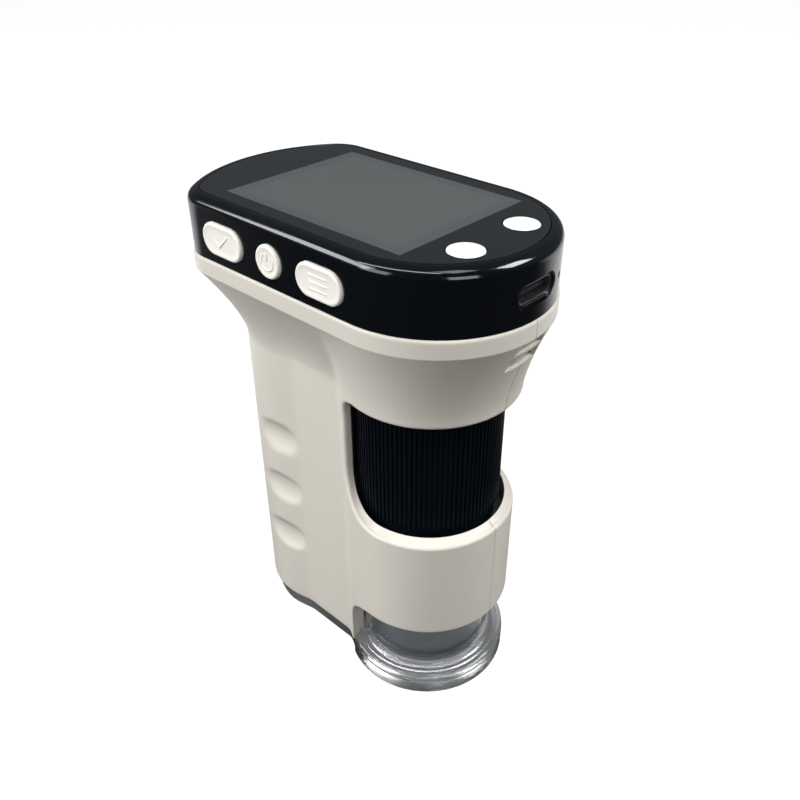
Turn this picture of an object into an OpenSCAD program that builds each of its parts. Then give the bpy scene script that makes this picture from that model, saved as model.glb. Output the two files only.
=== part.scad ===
// Handheld digital microscope: display head on top, grip behind, lens barrel with a
// focusing wheel in front, clear stand-off foot below.
// Z runs up the optical axis and the origin is on that axis in the resting plane.
// The charging port faces -Y, the grip is at +Y, the three side keys face -X.
// The two half shells meet in the plane x = 0.

/* [Overall] */
// Height from the resting plane to the top of the display window
total_h = 99; // [97:0.5:106]
// Wall thickness of the moulded shells and of the bezel
wall = 1.8; // [1.4:0.1:2.2]
// Angle between the points of a moulded outline, seen from the middle
ring_step = 3; // [2:1:6]

/* [Display head] */
// Width of the head
head_w = 42; // [41:0.5:45]
// Length of the head, front to back
head_l = 71; // [70:0.5:75]
// Radius of the shallow arc that closes the back of the head
head_back_r = 29.5; // [27:0.5:34]
// Radius of the two corners beside that arc
head_corner_r = 8.5; // [6:0.5:10]
// Height of the black bezel
bezel_h = 11.4; // [11.2:0.1:13]
// Rounding of the bezel's top edge
bezel_edge_r = 2; // [1:0.1:2.4]
// How far the bezel stands back from the white lip below it
bezel_step = 0.25; // [0.1:0.05:0.4]
// Thickness of the acrylic display window
window_t = 1.2; // [0.8:0.1:1.4]
// How far the centre of the head's round front lies in front of the optical axis
head_ahead = 0.75; // [0.5:0.25:2]
// Distance from the front end of the head back to the lit area of the display
screen_front = 15.35; // [15:0.05:17]
// Distance from the lit area back to the rear end of the head
screen_back = 14.85; // [14.5:0.05:17]
// Distance from the side of the head in to the lit area
screen_side = 5.7; // [5.6:0.1:7]

/* [Body] */
// Radius of the barrel round the focusing wheel
barrel_r = 17; // [16.8:0.1:18.5]
// Radius of the grip
grip_r = 14.6; // [14:0.1:16]
// Distance from the optical axis back to the centre of the grip
grip_y = 29.7; // [28.5:0.1:31]
// Width across the waist between barrel and grip
waist_w = 27.1; // [25.5:0.1:28]
// Height of the upright white lip under the bezel
lip_h = 3.3; // [3:0.1:4.5]
// Height over which the head runs down into the body
cove_h = 15.8; // [14.5:0.1:17]
// Height of the shells' lower edge, which is the thickness of the foot's sole
sole_t = 3; // [2.4:0.1:4]
// Top of the arch in front of the foot
arch_z = 18.5; // [16:0.5:20]
// Lower edge of the wheel's window
window_z = 41.5; // [40.6:0.1:44]
// How far behind the optical axis the window and the arch reach
opening_y = 8; // [6:0.5:9]

/* [Finger grooves] */
// Number of grooves on each side of the grip
groove_count = 3; // [0:1:3]
// Height of the top groove's middle
groove_top_z = 48.1; // [47:0.1:50]
// Spacing of the grooves
groove_pitch = 13.35; // [10:0.05:14]
// Radius of the grooves' scoop
groove_r = 6; // [4:0.5:8]
// Depth of the grooves
groove_depth = 1.2; // [0.5:0.05:1.2]

/* [Keys] */
// Length of the two long side keys
key_l = 10.6; // [9:0.1:11]
// Height of the side keys, and diameter of the round one
key_h = 6; // [5:0.1:6.2]
// Spacing of the side keys along the head
key_pitch = 12.2; // [12.2:0.1:13]
// How far the side keys stand out of the bezel
key_proud = 0.6; // [0.4:0.1:1]
// Diameter of the two keys on top
top_key_d = 6.15; // [5.4:0.05:6.4]
// Spacing of the two keys on top
top_key_pitch = 14.3; // [14:0.1:15]
// Distance from the front end of the head back to the middle of the two keys on top
top_key_front = 9.2; // [9:0.1:9.6]
// Travel of every key
key_travel = 0.5; // [0.3:0.05:0.5]
// Gap round every key
key_gap = 0.15; // [0.1:0.05:0.25]

/* [Focusing] */
// Gap between the wheel's ribs and the bore of the barrel
wheel_gap = 1.1; // [0.6:0.1:1.4]
// Number of ribs round the wheel
rib_count = 96; // [48:4:110]
// Depth of the grooves between the ribs
rib_depth = 0.35; // [0.2:0.05:0.5]
// Distance from the tops of the ribs in to the outside of the fixed guide tube
wheel_wall = 3.1; // [3:0.1:3.5]
// Wall of the guide tube
guide_t = 1; // [0.8:0.1:1]
// Radial clearance of every turning or sliding fit
running_gap = 0.1; // [0.05:0.05:0.1]
// Radius of the three pins that the wheel drives
pin_r = 1; // [0.8:0.1:1]
// Travel of the lens carriage each way from the middle
focus_travel = 3.7; // [2:0.1:3.7]
// Turn of the wheel each way from the middle
focus_turn = 75; // [40:5:80]

/* [Foot] */
// Distance from the bore of the barrel in to the outside of the clear wall
foot_step = 1.3; // [0.8:0.1:1.4]
// Thickness of the clear wall
foot_wall = 1.3; // [1:0.1:1.4]
// Height of the flange in front of the arch
flange_h = 5; // [4.4:0.1:6]
// How far the lip round the specimen window stands in from the clear wall
specimen_lip = 0.6; // [0.3:0.1:2.6]

/* [Electronics] */
// Thickness of the main board
board_t = 1.2; // [1:0.1:1.6]
// Thickness of the battery
battery_t = 9; // [7:0.5:9.5]
// Width of the battery
battery_w = 20; // [16:0.5:20]
// Height of the battery
battery_h = 40; // [30:1:50]
// Number of lamps round the lens
led_count = 8; // [4:1:8]

/* [Hidden] */
$fn = 64;

shell_white = [0.86, 0.85, 0.80];
key_white = [0.93, 0.92, 0.89];
gloss_black = [0.03, 0.04, 0.05];
board_green = [0.05, 0.30, 0.18];
tiny = 0.01;

// --- heights -----------------------------------------------------------------
bezel_z = total_h - bezel_h;
cove_top_z = bezel_z - lip_h;
cove_bottom_z = cove_top_z - cove_h;
window_top_z = cove_bottom_z;
chamber_top_z = cove_bottom_z + 1.5;
bulkhead_top_z = chamber_top_z + wall;
window_seat_z = total_h - window_t;
bezel_roof_z = window_seat_z - 1.2;

// --- the two outlines --------------------------------------------------------
// Both are measured along rays from one point, so that they can be blended.
hub_y = 16;
head_front_cy = -head_ahead;
head_front_y = head_front_cy - head_w / 2;
head_back_y = head_front_y + head_l;
screen_l = head_l - screen_front - screen_back;
screen_w = head_w - 2 * screen_side;
screen_y = head_front_y + screen_front + screen_l / 2;
back_cy = head_back_y - head_back_r;
corner_cx = head_w / 2 - head_corner_r;
corner_cy = back_cy + sqrt(pow(head_back_r - head_corner_r, 2) - pow(corner_cx, 2));
outline_blend = 1.2;

// Distance along a ray at angle a to the far side of a circle, 0 where it misses
function ray(a, cx, cy, r) =
    let (ux = abs(cos(a)), uy = sin(a), dy = cy - hub_y, b = cx * ux + dy * uy,
         disc = r * r - cx * cx - dy * dy + b * b)
    disc > 0 ? max(0, b + sqrt(disc)) : 0;
// Distance to an upright side line at x = half
function side(a, half) = half / max(abs(cos(a)), 0.0001);
// Larger of two distances, with a smooth change-over
function soft_max(a, b, k) =
    let (h = max(k - abs(a - b), 0) / k) max(a, b) + h * h * k / 4;
function head_ray(a, d) =
    let (t = side(a, head_w / 2 - d), y = hub_y + t * sin(a),
         tb = ray(a, 0, back_cy, head_back_r - d),
         on_back = tb * abs(cos(a)) * (corner_cy - back_cy)
             < (hub_y + tb * sin(a) - back_cy) * corner_cx)
    y < head_front_cy ? ray(a, 0, head_front_cy, head_w / 2 - d)
    : y < corner_cy ? t
    : on_back ? tb : ray(a, corner_cx, corner_cy, head_corner_r - d);
function body_ray(a, d) =
    let (t = side(a, waist_w / 2 - d), y = hub_y + t * sin(a),
         waist = y > 0 && y < grip_y ? t : 0)
    soft_max(max(ray(a, 0, 0, barrel_r - d), ray(a, 0, grip_y, grip_r - d)),
        waist, outline_blend);
// Share of the body's outline at height z: 0 at the lip, 1 where the cove ends
function blend_at(z) =
    z >= cove_top_z ? 0 : z <= cove_bottom_z ? 1
    : 1 - pow(1 - (cove_top_z - z) / cove_h, 1.5);
function ring_point(a, z, g, d) =
    let (r = (1 - g) * head_ray(a, d) + g * body_ray(a, d))
    [r * cos(a), hub_y + r * sin(a), z];
function full_ring(z, g, d) = [for (a = [90:ring_step:449]) ring_point(a, z, g, d)];
// Left half of a ring, from the back round to the front; x0 moves its closing face
function half_ring(z, g, d, x0) =
    let (arc = [for (a = [90:ring_step:270]) ring_point(a, z, g, d)])
    concat([[x0, arc[0][1], z]], x0 > 0 ? arc : [for (i = [1:len(arc) - 2]) arc[i]],
        [[x0, arc[len(arc) - 1][1], z]]);
function flat(ring) = [for (p = ring) [p[0], p[1]]];

// Closed skin over a stack of rings with equally many points, lowest ring first
module loft(rings) {
    n = len(rings[0]);
    top = len(rings) - 1;
    polyhedron(
        points = [for (ring = rings) each ring],
        faces = concat(
            [[for (i = [0:n - 1]) i]],
            [for (k = [0:top - 1], i = [0:n - 1], half = [0, 1])
                let (j = (i + 1) % n, low = k * n, high = low + n)
                half == 0 ? [low + i, high + i, high + j] : [low + i, high + j, low + j]],
            [[for (i = [n - 1:-1:0]) top * n + i]]),
        convexity = 6);
}

// Upright prism of the head's outline, inset by d
module head_prism(d, z0, z1) {
    translate([0, 0, z0]) linear_extrude(z1 - z0) polygon(flat(full_ring(0, 0, d)));
}

// Rectangle with its middle on the Y axis at y = cy
module block(w, l, z0, z1, cy = 0, cx = 0) {
    translate([cx - w / 2, cy - l / 2, z0]) cube([w, l, z1 - z0]);
}

module tube(r_out, r_in, z0, z1) {
    difference() {
        translate([0, 0, z0]) cylinder(r = r_out, h = z1 - z0);
        translate([0, 0, z0 - 1]) cylinder(r = r_in, h = z1 - z0 + 2);
    }
}

// Flat shape with two round ends, w long and h high
module stadium(w, h) {
    if (w - h > 0.1) square([w - h, h], center = true);
    for (s = w - h > 0.1 ? [-1, 1] : [0]) translate([s * (w - h) / 2, 0]) circle(d = h);
}

// --- half shells ---------------------------------------------------------------
shell_edge = 0.5;
bore_r = barrel_r - wall;
foot_r = bore_r - foot_step;
foot_socket_r = foot_r + 0.1;
wheel_r = bore_r - wheel_gap;
foot_socket_z = 26;
window_corner_r = 9.5;
window_top_corner_r = 4.6;
arch_corner_r = 8;
guide_r = wheel_r - wheel_wall;
guide_bore_r = guide_r - guide_t;
// Bead of the bezel's skirt and the groove in the lip that holds it
bead_z = bezel_z - 1.9;
bead_h = 0.8;
bead_out = 0.55;
skirt_gap = 0.1;

// Case screws: place in Y and Z, and how far the left post reaches towards -X
screw_posts = [[30.5, sole_t + 5.8, 13.4], [31.5, cove_bottom_z - 0.5, 13.4],
    [-13.2, cove_bottom_z + 9.7, 9.4], [36, cove_top_z - 4.3, 16]];
post_r = 3.3;
case_screw_r = 1;
screw_seat_x = 4;
screw_well_r = 2.5;

// Posts under the main board: place in X and Y, and height at which they leave the wall
board_posts = [[head_w / 2 - 9.4, head_front_y + 13.75, bulkhead_top_z - 1],
    [waist_w / 2 - 1.35, 24, cove_bottom_z + 4.6]];
board_post_r = 1.9;
board_screw_r = 0.75;

// The grooves start in front of the grip's middle and run out of its side behind it
groove_fore = 3.7;
groove_turn = 5.7;

module outer_half() {
    cove_steps = 10;
    loft(concat(
        [half_ring(sole_t, 1, shell_edge * 0.6, 0), half_ring(sole_t + shell_edge, 1, 0, 0)],
        [for (k = [0:cove_steps])
            let (z = cove_bottom_z + cove_h * k / cove_steps)
            half_ring(z, blend_at(z), 0, 0)],
        [half_ring(bezel_z - 0.3, 0, 0, 0), half_ring(bezel_z, 0, 0.2, 0)]));
}

// Upper hollow, under the head, with a flat floor
module upper_hollow() {
    steps = 7;
    z0 = bulkhead_top_z - 1;
    difference() {
        loft(concat(
            [for (k = [0:steps])
                let (z = z0 + (cove_top_z - z0) * k / steps)
                half_ring(z, blend_at(z), wall, 1)],
            [half_ring(bezel_z + 1, 0, wall, 1)]));
        translate([-head_w, -head_l, z0 - 1])
            cube([2 * head_w, 2 * head_l, bulkhead_top_z - z0 + 1]);
    }
}

module bead_groove() {
    loft([for (z = [bead_z - 0.1, bead_z + bead_h + 0.1])
        half_ring(z, 0, wall - bead_out - skirt_gap, 1)]);
}

// Plan of the grip behind the barrel; d is the distance in from the outside
module grip_plan(d) {
    translate([0, grip_y]) circle(r = grip_r - d);
    translate([-waist_w / 2 + d, barrel_r]) square([waist_w - 2 * d, grip_y - barrel_r]);
}

module grip_hollow() {
    translate([0, 0, sole_t + wall]) linear_extrude(bulkhead_top_z - sole_t - wall + 1)
        grip_plan(wall);
}

// Side view of an opening that is cut straight across the body in front of opening_y;
// its two rear corners are rounded, and a radius of 0 leaves the lower one sharp
module cross_cut(z0, z1, r_low, r_high) {
    reach = barrel_r + 5;
    y_low = opening_y - r_low;
    y_high = opening_y - r_high;
    rotate([90, 0, 90]) translate([0, 0, -reach]) linear_extrude(2 * reach) {
        translate([-reach, z0 + r_low])
            square([reach + opening_y, z1 - z0 - r_low - r_high]);
        translate([-reach, z0]) square([reach + y_low, z1 - z0 - r_high]);
        translate([-reach, z0 + r_low]) square([reach + y_high, z1 - z0 - r_low]);
        if (r_low > 0) translate([y_low, z0 + r_low]) circle(r = r_low);
        if (r_high > 0) translate([y_high, z1 - r_high]) circle(r = r_high);
    }
}

// One louvre of the front vent, a shallow slot with slanting ends
module vent(z_top, h, depth) {
    y_face = head_front_y
        + blend_at(z_top - h / 2) * (head_w / 2 - head_front_cy - barrel_r);
    translate([0, y_face + depth, z_top - h]) rotate([-14, 0, 0])
        rotate([90, 0, 0]) linear_extrude(6)
            polygon([[-3.9, 0], [3.9, 0], [3.2, h], [-3.2, h]]);
}

module finger_grooves() {
    for (k = [0:1:groove_count - 1])
        translate([-(grip_r + groove_r - groove_depth), grip_y,
                groove_top_z - k * groove_pitch])
            rotate([0, 0, groove_turn]) translate([0, -groove_fore, 0]) {
                sphere(r = groove_r);
                rotate([-90, 0, 0]) cylinder(r = groove_r, h = 16);
            }
}

// Rib that holds the battery, between the grip's wall and the cell's side
module cradle_rib(z, x_cell) {
    rib_t = 1.2;
    translate([0, 0, z]) linear_extrude(rib_t) intersection() {
        grip_plan(wall / 2);
        translate([-barrel_r, grip_y + 0.8 - battery_w / 2]) square([barrel_r - x_cell, battery_w]);
    }
}

battery_z = sole_t + 10;

module shell_half(x_cell) {
    difference() {
        union() {
            difference() {
                outer_half();
                upper_hollow();
                grip_hollow();
                bead_groove();
            }
            for (p = screw_posts) translate([0, p[0], p[1]]) rotate([0, -90, 0])
                cylinder(r = post_r, h = p[2]);
            for (p = board_posts) translate([-p[0], p[1], p[2]])
                cylinder(r = board_post_r, h = board_z - p[2]);
            for (z = [battery_z + 6, battery_z + battery_h / 2, battery_z + battery_h - 8])
                cradle_rib(z, x_cell);
            cradle_rib(battery_z - 1.2, 0);
        }
        // wheel chamber, guide tube and foot socket
        translate([0, 0, foot_socket_z]) cylinder(r = bore_r, h = chamber_top_z - foot_socket_z);
        translate([0, 0, chamber_top_z - 1]) cylinder(r = guide_r, h = wall + 2);
        translate([0, 0, -1]) cylinder(r = foot_socket_r, h = foot_socket_z + 2);
        cross_cut(window_z, window_top_z, window_corner_r, window_top_corner_r);
        cross_cut(-arch_z, arch_z, 0, arch_corner_r);
        vent(cove_top_z - 0.1, 2.2, 0.85);
        vent(cove_top_z - 2.9, 2.7, 0.75);
        finger_grooves();
        for (p = board_posts) translate([-p[0], p[1], board_z - 6])
            cylinder(r = board_screw_r, h = 7);
    }
}

module left_shell() {
    color(shell_white) difference() {
        shell_half(battery_t / 2);
        for (p = screw_posts) translate([1, p[0], p[1]]) rotate([0, -90, 0])
            cylinder(r = case_screw_r, h = 8.5);
    }
}

module right_shell() {
    color(shell_white) mirror([1, 0, 0]) difference() {
        shell_half(battery_t / 2 + pad_t);
        for (p = screw_posts) translate([1, p[0], p[1]]) rotate([0, -90, 0]) {
            cylinder(r = case_screw_r + 0.2, h = 10);
            translate([0, 0, screw_seat_x + 1]) cylinder(r = screw_well_r, h = 30);
        }
    }
}

module case_screws() {
    color("silver") for (p = screw_posts) translate([screw_seat_x, p[0], p[1]])
        rotate([0, -90, 0]) {
            cylinder(r = case_screw_r, h = screw_seat_x + 7);
            difference() {
                translate([0, 0, -1.6]) cylinder(r = 2, h = 1.6);
                for (turn = [0, 90]) rotate([0, 0, turn])
                    translate([-1.2, -0.25, -2]) cube([2.4, 0.5, 1.2]);
            }
        }
}

// --- clear foot ------------------------------------------------------------------
foot_top_z = 34;
foot_bore_r = foot_r - foot_wall;
specimen_r = foot_bore_r - specimen_lip;
sole_inset = 0.35;
sole_back = 1.3;
flange_edge_r = 1.1;
specimen_lip_h = sole_t;

module clear_foot() {
    color([0.75, 0.78, 0.80, 0.4]) difference() {
        union() {
            // flange round the specimen, cut off in front of the shells' leg
            intersection() {
                rotate_extrude() {
                    square([barrel_r, flange_h - flange_edge_r]);
                    square([barrel_r - flange_edge_r, flange_h]);
                    translate([barrel_r - flange_edge_r, flange_h - flange_edge_r])
                        circle(r = flange_edge_r);
                }
                translate([-barrel_r - 1, -barrel_r - 1, 0])
                    cube([2 * barrel_r + 2, barrel_r + 1 + opening_y - 0.15, flange_h]);
            }
            // sole under the grip
            linear_extrude(sole_t) intersection() {
                polygon(flat(full_ring(0, 1, sole_inset)));
                union() {
                    translate([0, grip_y - sole_back]) circle(r = grip_r - sole_inset);
                    translate([-barrel_r, 0]) square([2 * barrel_r, grip_y - sole_back]);
                }
            }
            translate([0, 0, tiny]) cylinder(r = foot_r, h = foot_top_z - tiny);
            // snap rim at the top of the wall
            translate([0, 0, foot_socket_z + 0.4]) cylinder(r = foot_r + 0.5, h = 1.2);
        }
        translate([0, 0, specimen_lip_h]) cylinder(r = foot_bore_r, h = foot_top_z);
        translate([0, 0, -1]) cylinder(r = specimen_r, h = foot_top_z);
    }
}

// --- display head ---------------------------------------------------------------
bezel_r_in = bezel_step + wall;
window_rim = bezel_step + bezel_edge_r + 0.3;
window_gap = 0.12;
view_w = screen_w + 2.2;
view_l = screen_l + 2.2;
board_z = total_h - 9.3;
board_top_z = board_z + board_t;
key_z = total_h - 6.55;
key_mid_y = screen_y + 3.55;
key_face_x = head_w / 2 - bezel_step;
port_w = 8.94;
port_h = 3.26;
port_z = board_top_z + port_h / 2;
top_key_y = head_front_y + top_key_front;

// Up the outside, over the rounded edge and down into the window's seat
module bezel_skin() {
    steps = 5;
    loft(concat(
        [full_ring(bezel_z, 0, bezel_step)],
        [for (k = [0:steps])
            let (t = 90 * k / steps)
            full_ring(total_h - bezel_edge_r + bezel_edge_r * sin(t), 0,
                bezel_step + bezel_edge_r * (1 - cos(t)))],
        [for (z = [total_h, window_seat_z]) full_ring(z, 0, window_rim)]));
}

// Opening of one side key, through the bezel's left wall
module key_hole(y, l) {
    translate([-head_w / 2 - 1, y, key_z]) rotate([90, 0, 90])
        linear_extrude(wall + 3) stadium(l + 2 * key_gap, key_h + 2 * key_gap);
}

module top_bezel() {
    port_recess = 0.5;
    color(gloss_black) {
        difference() {
            bezel_skin();
            head_prism(bezel_r_in, bezel_z - 1, bezel_roof_z);
            block(view_w, view_l, bezel_z, total_h, screen_y);
            for (s = [-1, 1]) translate([s * top_key_pitch / 2, top_key_y, bezel_z])
                cylinder(d = top_key_d + 2 * key_gap, h = bezel_h);
            for (k = [-1, 1]) key_hole(key_mid_y + k * key_pitch, key_l);
            key_hole(key_mid_y, key_h);
            translate([0, head_front_y + 4, port_z]) rotate([90, 0, 0])
                linear_extrude(8) stadium(port_w + 0.2, port_h + 0.2);
            translate([0, head_front_y + bezel_step + port_recess, port_z])
                rotate([90, 0, 0]) linear_extrude(2) stadium(port_w + 1.2, port_h + 1.2);
            translate([7.7, head_front_y + 4, port_z - 0.3]) rotate([90, 0, 0])
                cylinder(r = 0.6, h = 8);
        }
        // skirt that the half shells close round
        difference() {
            union() {
                head_prism(wall + skirt_gap, bezel_z - 2.4, bezel_z + 0.6);
                head_prism(wall - bead_out, bead_z, bead_z + bead_h);
            }
            head_prism(wall + 1.2, bezel_z - 3, bezel_z + 1);
        }
    }
}

module display_window() {
    color([0.08, 0.10, 0.12]) difference() {
        head_prism(window_rim + window_gap, window_seat_z, total_h);
        for (s = [-1, 1]) translate([s * top_key_pitch / 2, top_key_y, window_seat_z - 1])
            cylinder(d = top_key_d + 2 * key_gap, h = window_t + 2);
    }
}

lcd_w = screen_w + 3.8;
lcd_l = screen_l + 6.2;
// The module is longer behind the lit area, where its driver sits
lcd_y = screen_y + 1.2;
gasket_t = 0.4;
lcd_t = 2.4;
panel_t = 0.9;
lcd_top_z = bezel_roof_z - gasket_t;
lcd_z = lcd_top_z - lcd_t;
tray_t = 0.8;

module lcd_gasket() {
    color([0.12, 0.12, 0.12]) difference() {
        block(lcd_w, lcd_l, lcd_top_z, bezel_roof_z, lcd_y);
        block(view_w, view_l, lcd_top_z - 1, total_h, screen_y);
    }
}

module lcd_panel() {
    color([0.30, 0.33, 0.35])
        block(lcd_w - 1.2, lcd_l - 1.2, lcd_top_z - panel_t, lcd_top_z, lcd_y);
}

module lcd_frame() {
    color("silver") difference() {
        block(lcd_w, lcd_l, lcd_z, lcd_top_z, lcd_y);
        block(lcd_w - 1.2, lcd_l - 1.2, lcd_top_z - panel_t, total_h, lcd_y);
    }
}

module lcd_tray() {
    color([0.9, 0.9, 0.88]) {
        block(lcd_w, lcd_l, lcd_z - tray_t, lcd_z, lcd_y);
        for (i = [-1, 1], k = [-1, 1])
            translate([i * (lcd_w / 2 - 8.2), screen_y + k * (screen_l / 2 - 3.4), board_top_z])
                cylinder(r = 1.4, h = lcd_z - tray_t / 2 - board_top_z);
    }
}

board_inset = 3.7;

module main_board() {
    color(board_green) difference() {
        head_prism(board_inset, board_z, board_top_z);
        for (s = [-1, 1], p = board_posts) translate([s * p[0], p[1], board_z - 1])
            cylinder(r = board_screw_r + 0.25, h = board_t + 2);
    }
}

module board_screws() {
    color("silver") for (s = [-1, 1], p = board_posts) translate([s * p[0], p[1], 0]) {
        translate([0, 0, board_z - 4.5]) cylinder(r = board_screw_r, h = board_t + 4.6);
        translate([0, 0, board_top_z]) cylinder(r = 1.5, h = 1.1);
    }
}

// Processor, memory, flex socket and battery plug under the board
flex_y = 12;
wire_y = 24.5;
module board_chips() {
    color([0.10, 0.10, 0.11]) {
        block(12, 12, board_z - 1.2, board_z, 6, 9);
        block(8, 6, board_z - 1, board_z, 16.5, 10);
        block(10, 3.4, board_z - 1.6, board_z, flex_y, -2);
        block(6, 4.5, board_z - 3, board_z, wire_y, 0);
        for (y = [0:3:12]) block(1.6, 0.8, board_z - 0.5, board_z, y, -11);
    }
}

module usb_port() {
    shell_t = 0.3;
    port_l = 7.3;
    y_front = head_front_y + bezel_step + 0.8;
    color("silver") translate([0, y_front + port_l, port_z]) rotate([90, 0, 0]) {
        difference() {
            linear_extrude(port_l) stadium(port_w, port_h);
            translate([0, 0, 1]) linear_extrude(port_l)
                stadium(port_w - 2 * shell_t, port_h - 2 * shell_t);
        }
        translate([-3.35, -0.35, 0.5]) cube([6.7, 0.7, port_l - 1.3]);
    }
}

switch_h = 2;
plunger = 0.35;
key_collar_t = 0.8;
side_switch_x = key_face_x - wall - key_collar_t - key_travel - 0.1 - plunger;
module side_switches() {
    color([0.2, 0.2, 0.2]) for (k = [-1:1])
        translate([-side_switch_x, key_mid_y + k * key_pitch, board_top_z]) {
            translate([0, -3, 0]) cube([3.6, 6, switch_h]);
            translate([-plunger, -0.9, 0.4]) cube([plunger + 0.1, 1.8, 1.2]);
        }
}

module top_switches() {
    color([0.2, 0.2, 0.2]) for (s = [-1, 1])
        translate([s * top_key_pitch / 2, top_key_y, board_top_z]) {
            block(4.2, 4.2, 0, switch_h);
            cylinder(r = 1.2, h = switch_h + 0.7);
        }
}

// --- keys -------------------------------------------------------------------------
// Cap with a rounded face, and a collar behind the bezel's wall that keeps it in
module side_key(y, l) {
    face_r = 0.4;
    x_wall = key_face_x - wall;
    color(key_white) translate([0, y, key_z]) rotate([90, 0, 90]) {
        translate([0, 0, -key_face_x - key_proud + face_r])
            linear_extrude(key_proud + wall - face_r + tiny) stadium(l, key_h);
        translate([0, 0, -key_face_x - key_proud])
            linear_extrude(1) stadium(l - 2 * face_r, key_h - 2 * face_r);
        translate([0, 0, -x_wall]) linear_extrude(key_collar_t)
            stadium(l + 1.1, key_h + 0.7);
    }
}
module ok_key() { side_key(key_mid_y + key_pitch, key_l); }
module power_key() { side_key(key_mid_y, key_h); }
module menu_key() { side_key(key_mid_y - key_pitch, key_l); }

module top_key(s) {
    stem_gap = key_travel + 0.1;
    stem_z = board_top_z + switch_h + 0.7 + stem_gap;
    color("white") translate([s * top_key_pitch / 2, top_key_y, 0]) {
        translate([0, 0, bezel_roof_z - tiny])
            cylinder(d = top_key_d, h = total_h - bezel_roof_z + tiny);
        translate([0, 0, bezel_roof_z - key_collar_t])
            cylinder(d = top_key_d + 0.9, h = key_collar_t);
        translate([0, 0, stem_z]) cylinder(r = 1.5, h = bezel_roof_z - stem_z);
    }
}
module top_key_left() { top_key(-1); }
module top_key_right() { top_key(1); }

// --- battery ------------------------------------------------------------------------
pad_t = 1;
battery_y = grip_y + 0.8;
module battery_cell() {
    color([0.70, 0.72, 0.76]) {
        translate([0, battery_y, battery_z]) linear_extrude(battery_h) rotate(90)
            stadium(battery_w, battery_t);
        block(battery_t - 4, battery_w - 8, battery_z + battery_h - tiny,
            battery_z + battery_h + 1.2, battery_y);
    }
}

module battery_pad() {
    color([0.25, 0.25, 0.27]) translate([battery_t / 2, battery_y - 5, battery_z + 2])
        cube([pad_t, 10, battery_h - 4]);
}

module battery_wires() {
    z0 = battery_z + battery_h + 1.2;
    color("firebrick") for (s = [-1, 1]) translate([s * 1.3, wire_y, z0])
        cylinder(r = 0.6, h = board_z - 3 - z0);
}

// --- optics --------------------------------------------------------------------------
wheel_z = 38;
wheel_top_z = chamber_top_z - 0.6;
wheel_skirt_r = wheel_r - 0.8;
wheel_bore_r = guide_r + running_gap;
wheel_rib_z = window_z + 1.2;
carriage_z = 30.5;
carriage_h = 20;
carriage_r = guide_bore_r - running_gap;
pin_z = 46;
pin_tip_r = guide_r + 1.2;
pin_gap = 0.2;
guide_z = 26;
guide_flange_h = 1.5;
guide_flange_r = guide_r + 1;
sensor_board_z = bulkhead_top_z + guide_flange_h;
sensor_board_t = 1;

// Fixed tube in which the carriage slides; three upright slots let its pins through
module guide_tube() {
    color([0.15, 0.15, 0.16]) difference() {
        union() {
            tube(guide_r, guide_bore_r, guide_z, sensor_board_z);
            tube(guide_flange_r, guide_bore_r, bulkhead_top_z, sensor_board_z);
        }
        for (k = [0:2]) rotate([0, 0, 90 + 120 * k])
            translate([guide_bore_r - 2, -pin_r - pin_gap, pin_z - focus_travel - pin_r - pin_gap])
                cube([4, 2 * (pin_r + pin_gap), 2 * (focus_travel + pin_r + pin_gap)]);
        for (s = [-1, 1]) translate([s * (guide_r - 0.1), 0, bulkhead_top_z + 0.1])
            cylinder(r = 0.5, h = 3);
    }
}

// Ribbed outline of the wheel
function rib_outline() = [for (k = [0:rib_count - 1], c = [[0, 1], [0.45, 1], [0.6, 0], [0.85, 0]])
    let (a = 360 * (k + c[0]) / rib_count, r = wheel_r - (1 - c[1]) * rib_depth)
    [r * cos(a), r * sin(a)]];

// Cutter for one helical groove inside the wheel; it drops as the angle grows
module drive_groove() {
    over = 8;
    steps = 26;
    half_h = pin_r + pin_gap + 0.05;
    loft_along([for (k = [0:steps])
        let (a = -focus_turn - over + 2 * (focus_turn + over) * k / steps,
             z = pin_z - focus_travel * a / focus_turn)
        [for (c = [[wheel_bore_r - 0.6, -half_h], [pin_tip_r + 0.4, -half_h],
                   [pin_tip_r + 0.4, half_h], [wheel_bore_r - 0.6, half_h]])
            [c[0] * cos(a), c[0] * sin(a), z + c[1]]]]);
}

// As loft(), for sections that follow one another anticlockwise about Z
module loft_along(rings) {
    n = len(rings[0]);
    last = len(rings) - 1;
    polyhedron(
        points = [for (ring = rings) each ring],
        faces = concat(
            [[for (i = [n - 1:-1:0]) i]],
            [for (k = [0:last - 1], i = [0:n - 1], half = [0, 1])
                let (j = (i + 1) % n, low = k * n, high = low + n)
                half == 0 ? [low + i, high + j, high + i] : [low + i, low + j, high + j]],
            [[for (i = [0:n - 1]) last * n + i]]),
        convexity = 6);
}

module focus_wheel() {
    color([0.05, 0.06, 0.07]) difference() {
        union() {
            translate([0, 0, wheel_rib_z]) linear_extrude(wheel_top_z - wheel_rib_z)
                polygon(rib_outline());
            translate([0, 0, wheel_z]) cylinder(r = wheel_skirt_r, h = wheel_top_z - wheel_z);
            translate([0, 0, wheel_rib_z - 0.8])
                cylinder(r1 = wheel_skirt_r, r2 = wheel_r - rib_depth, h = 0.9);
        }
        translate([0, 0, wheel_z - 1]) cylinder(r = wheel_bore_r, h = wheel_top_z - wheel_z + 2);
        for (k = [0:2]) rotate([0, 0, 90 + 120 * k]) drive_groove();
    }
}

module friction_ring() {
    color([0.3, 0.3, 0.3]) tube(wheel_r - 0.6, guide_r + 1, wheel_top_z, chamber_top_z);
}

lens_r = 5.5;
lens_edge = 1.2;
front_seat_z = carriage_z + 1;
spacer_h = 6;
rear_seat_z = front_seat_z + lens_edge + spacer_h;
retainer_h = 1.6;
cell_top_z = rear_seat_z + lens_edge + retainer_h;

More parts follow.
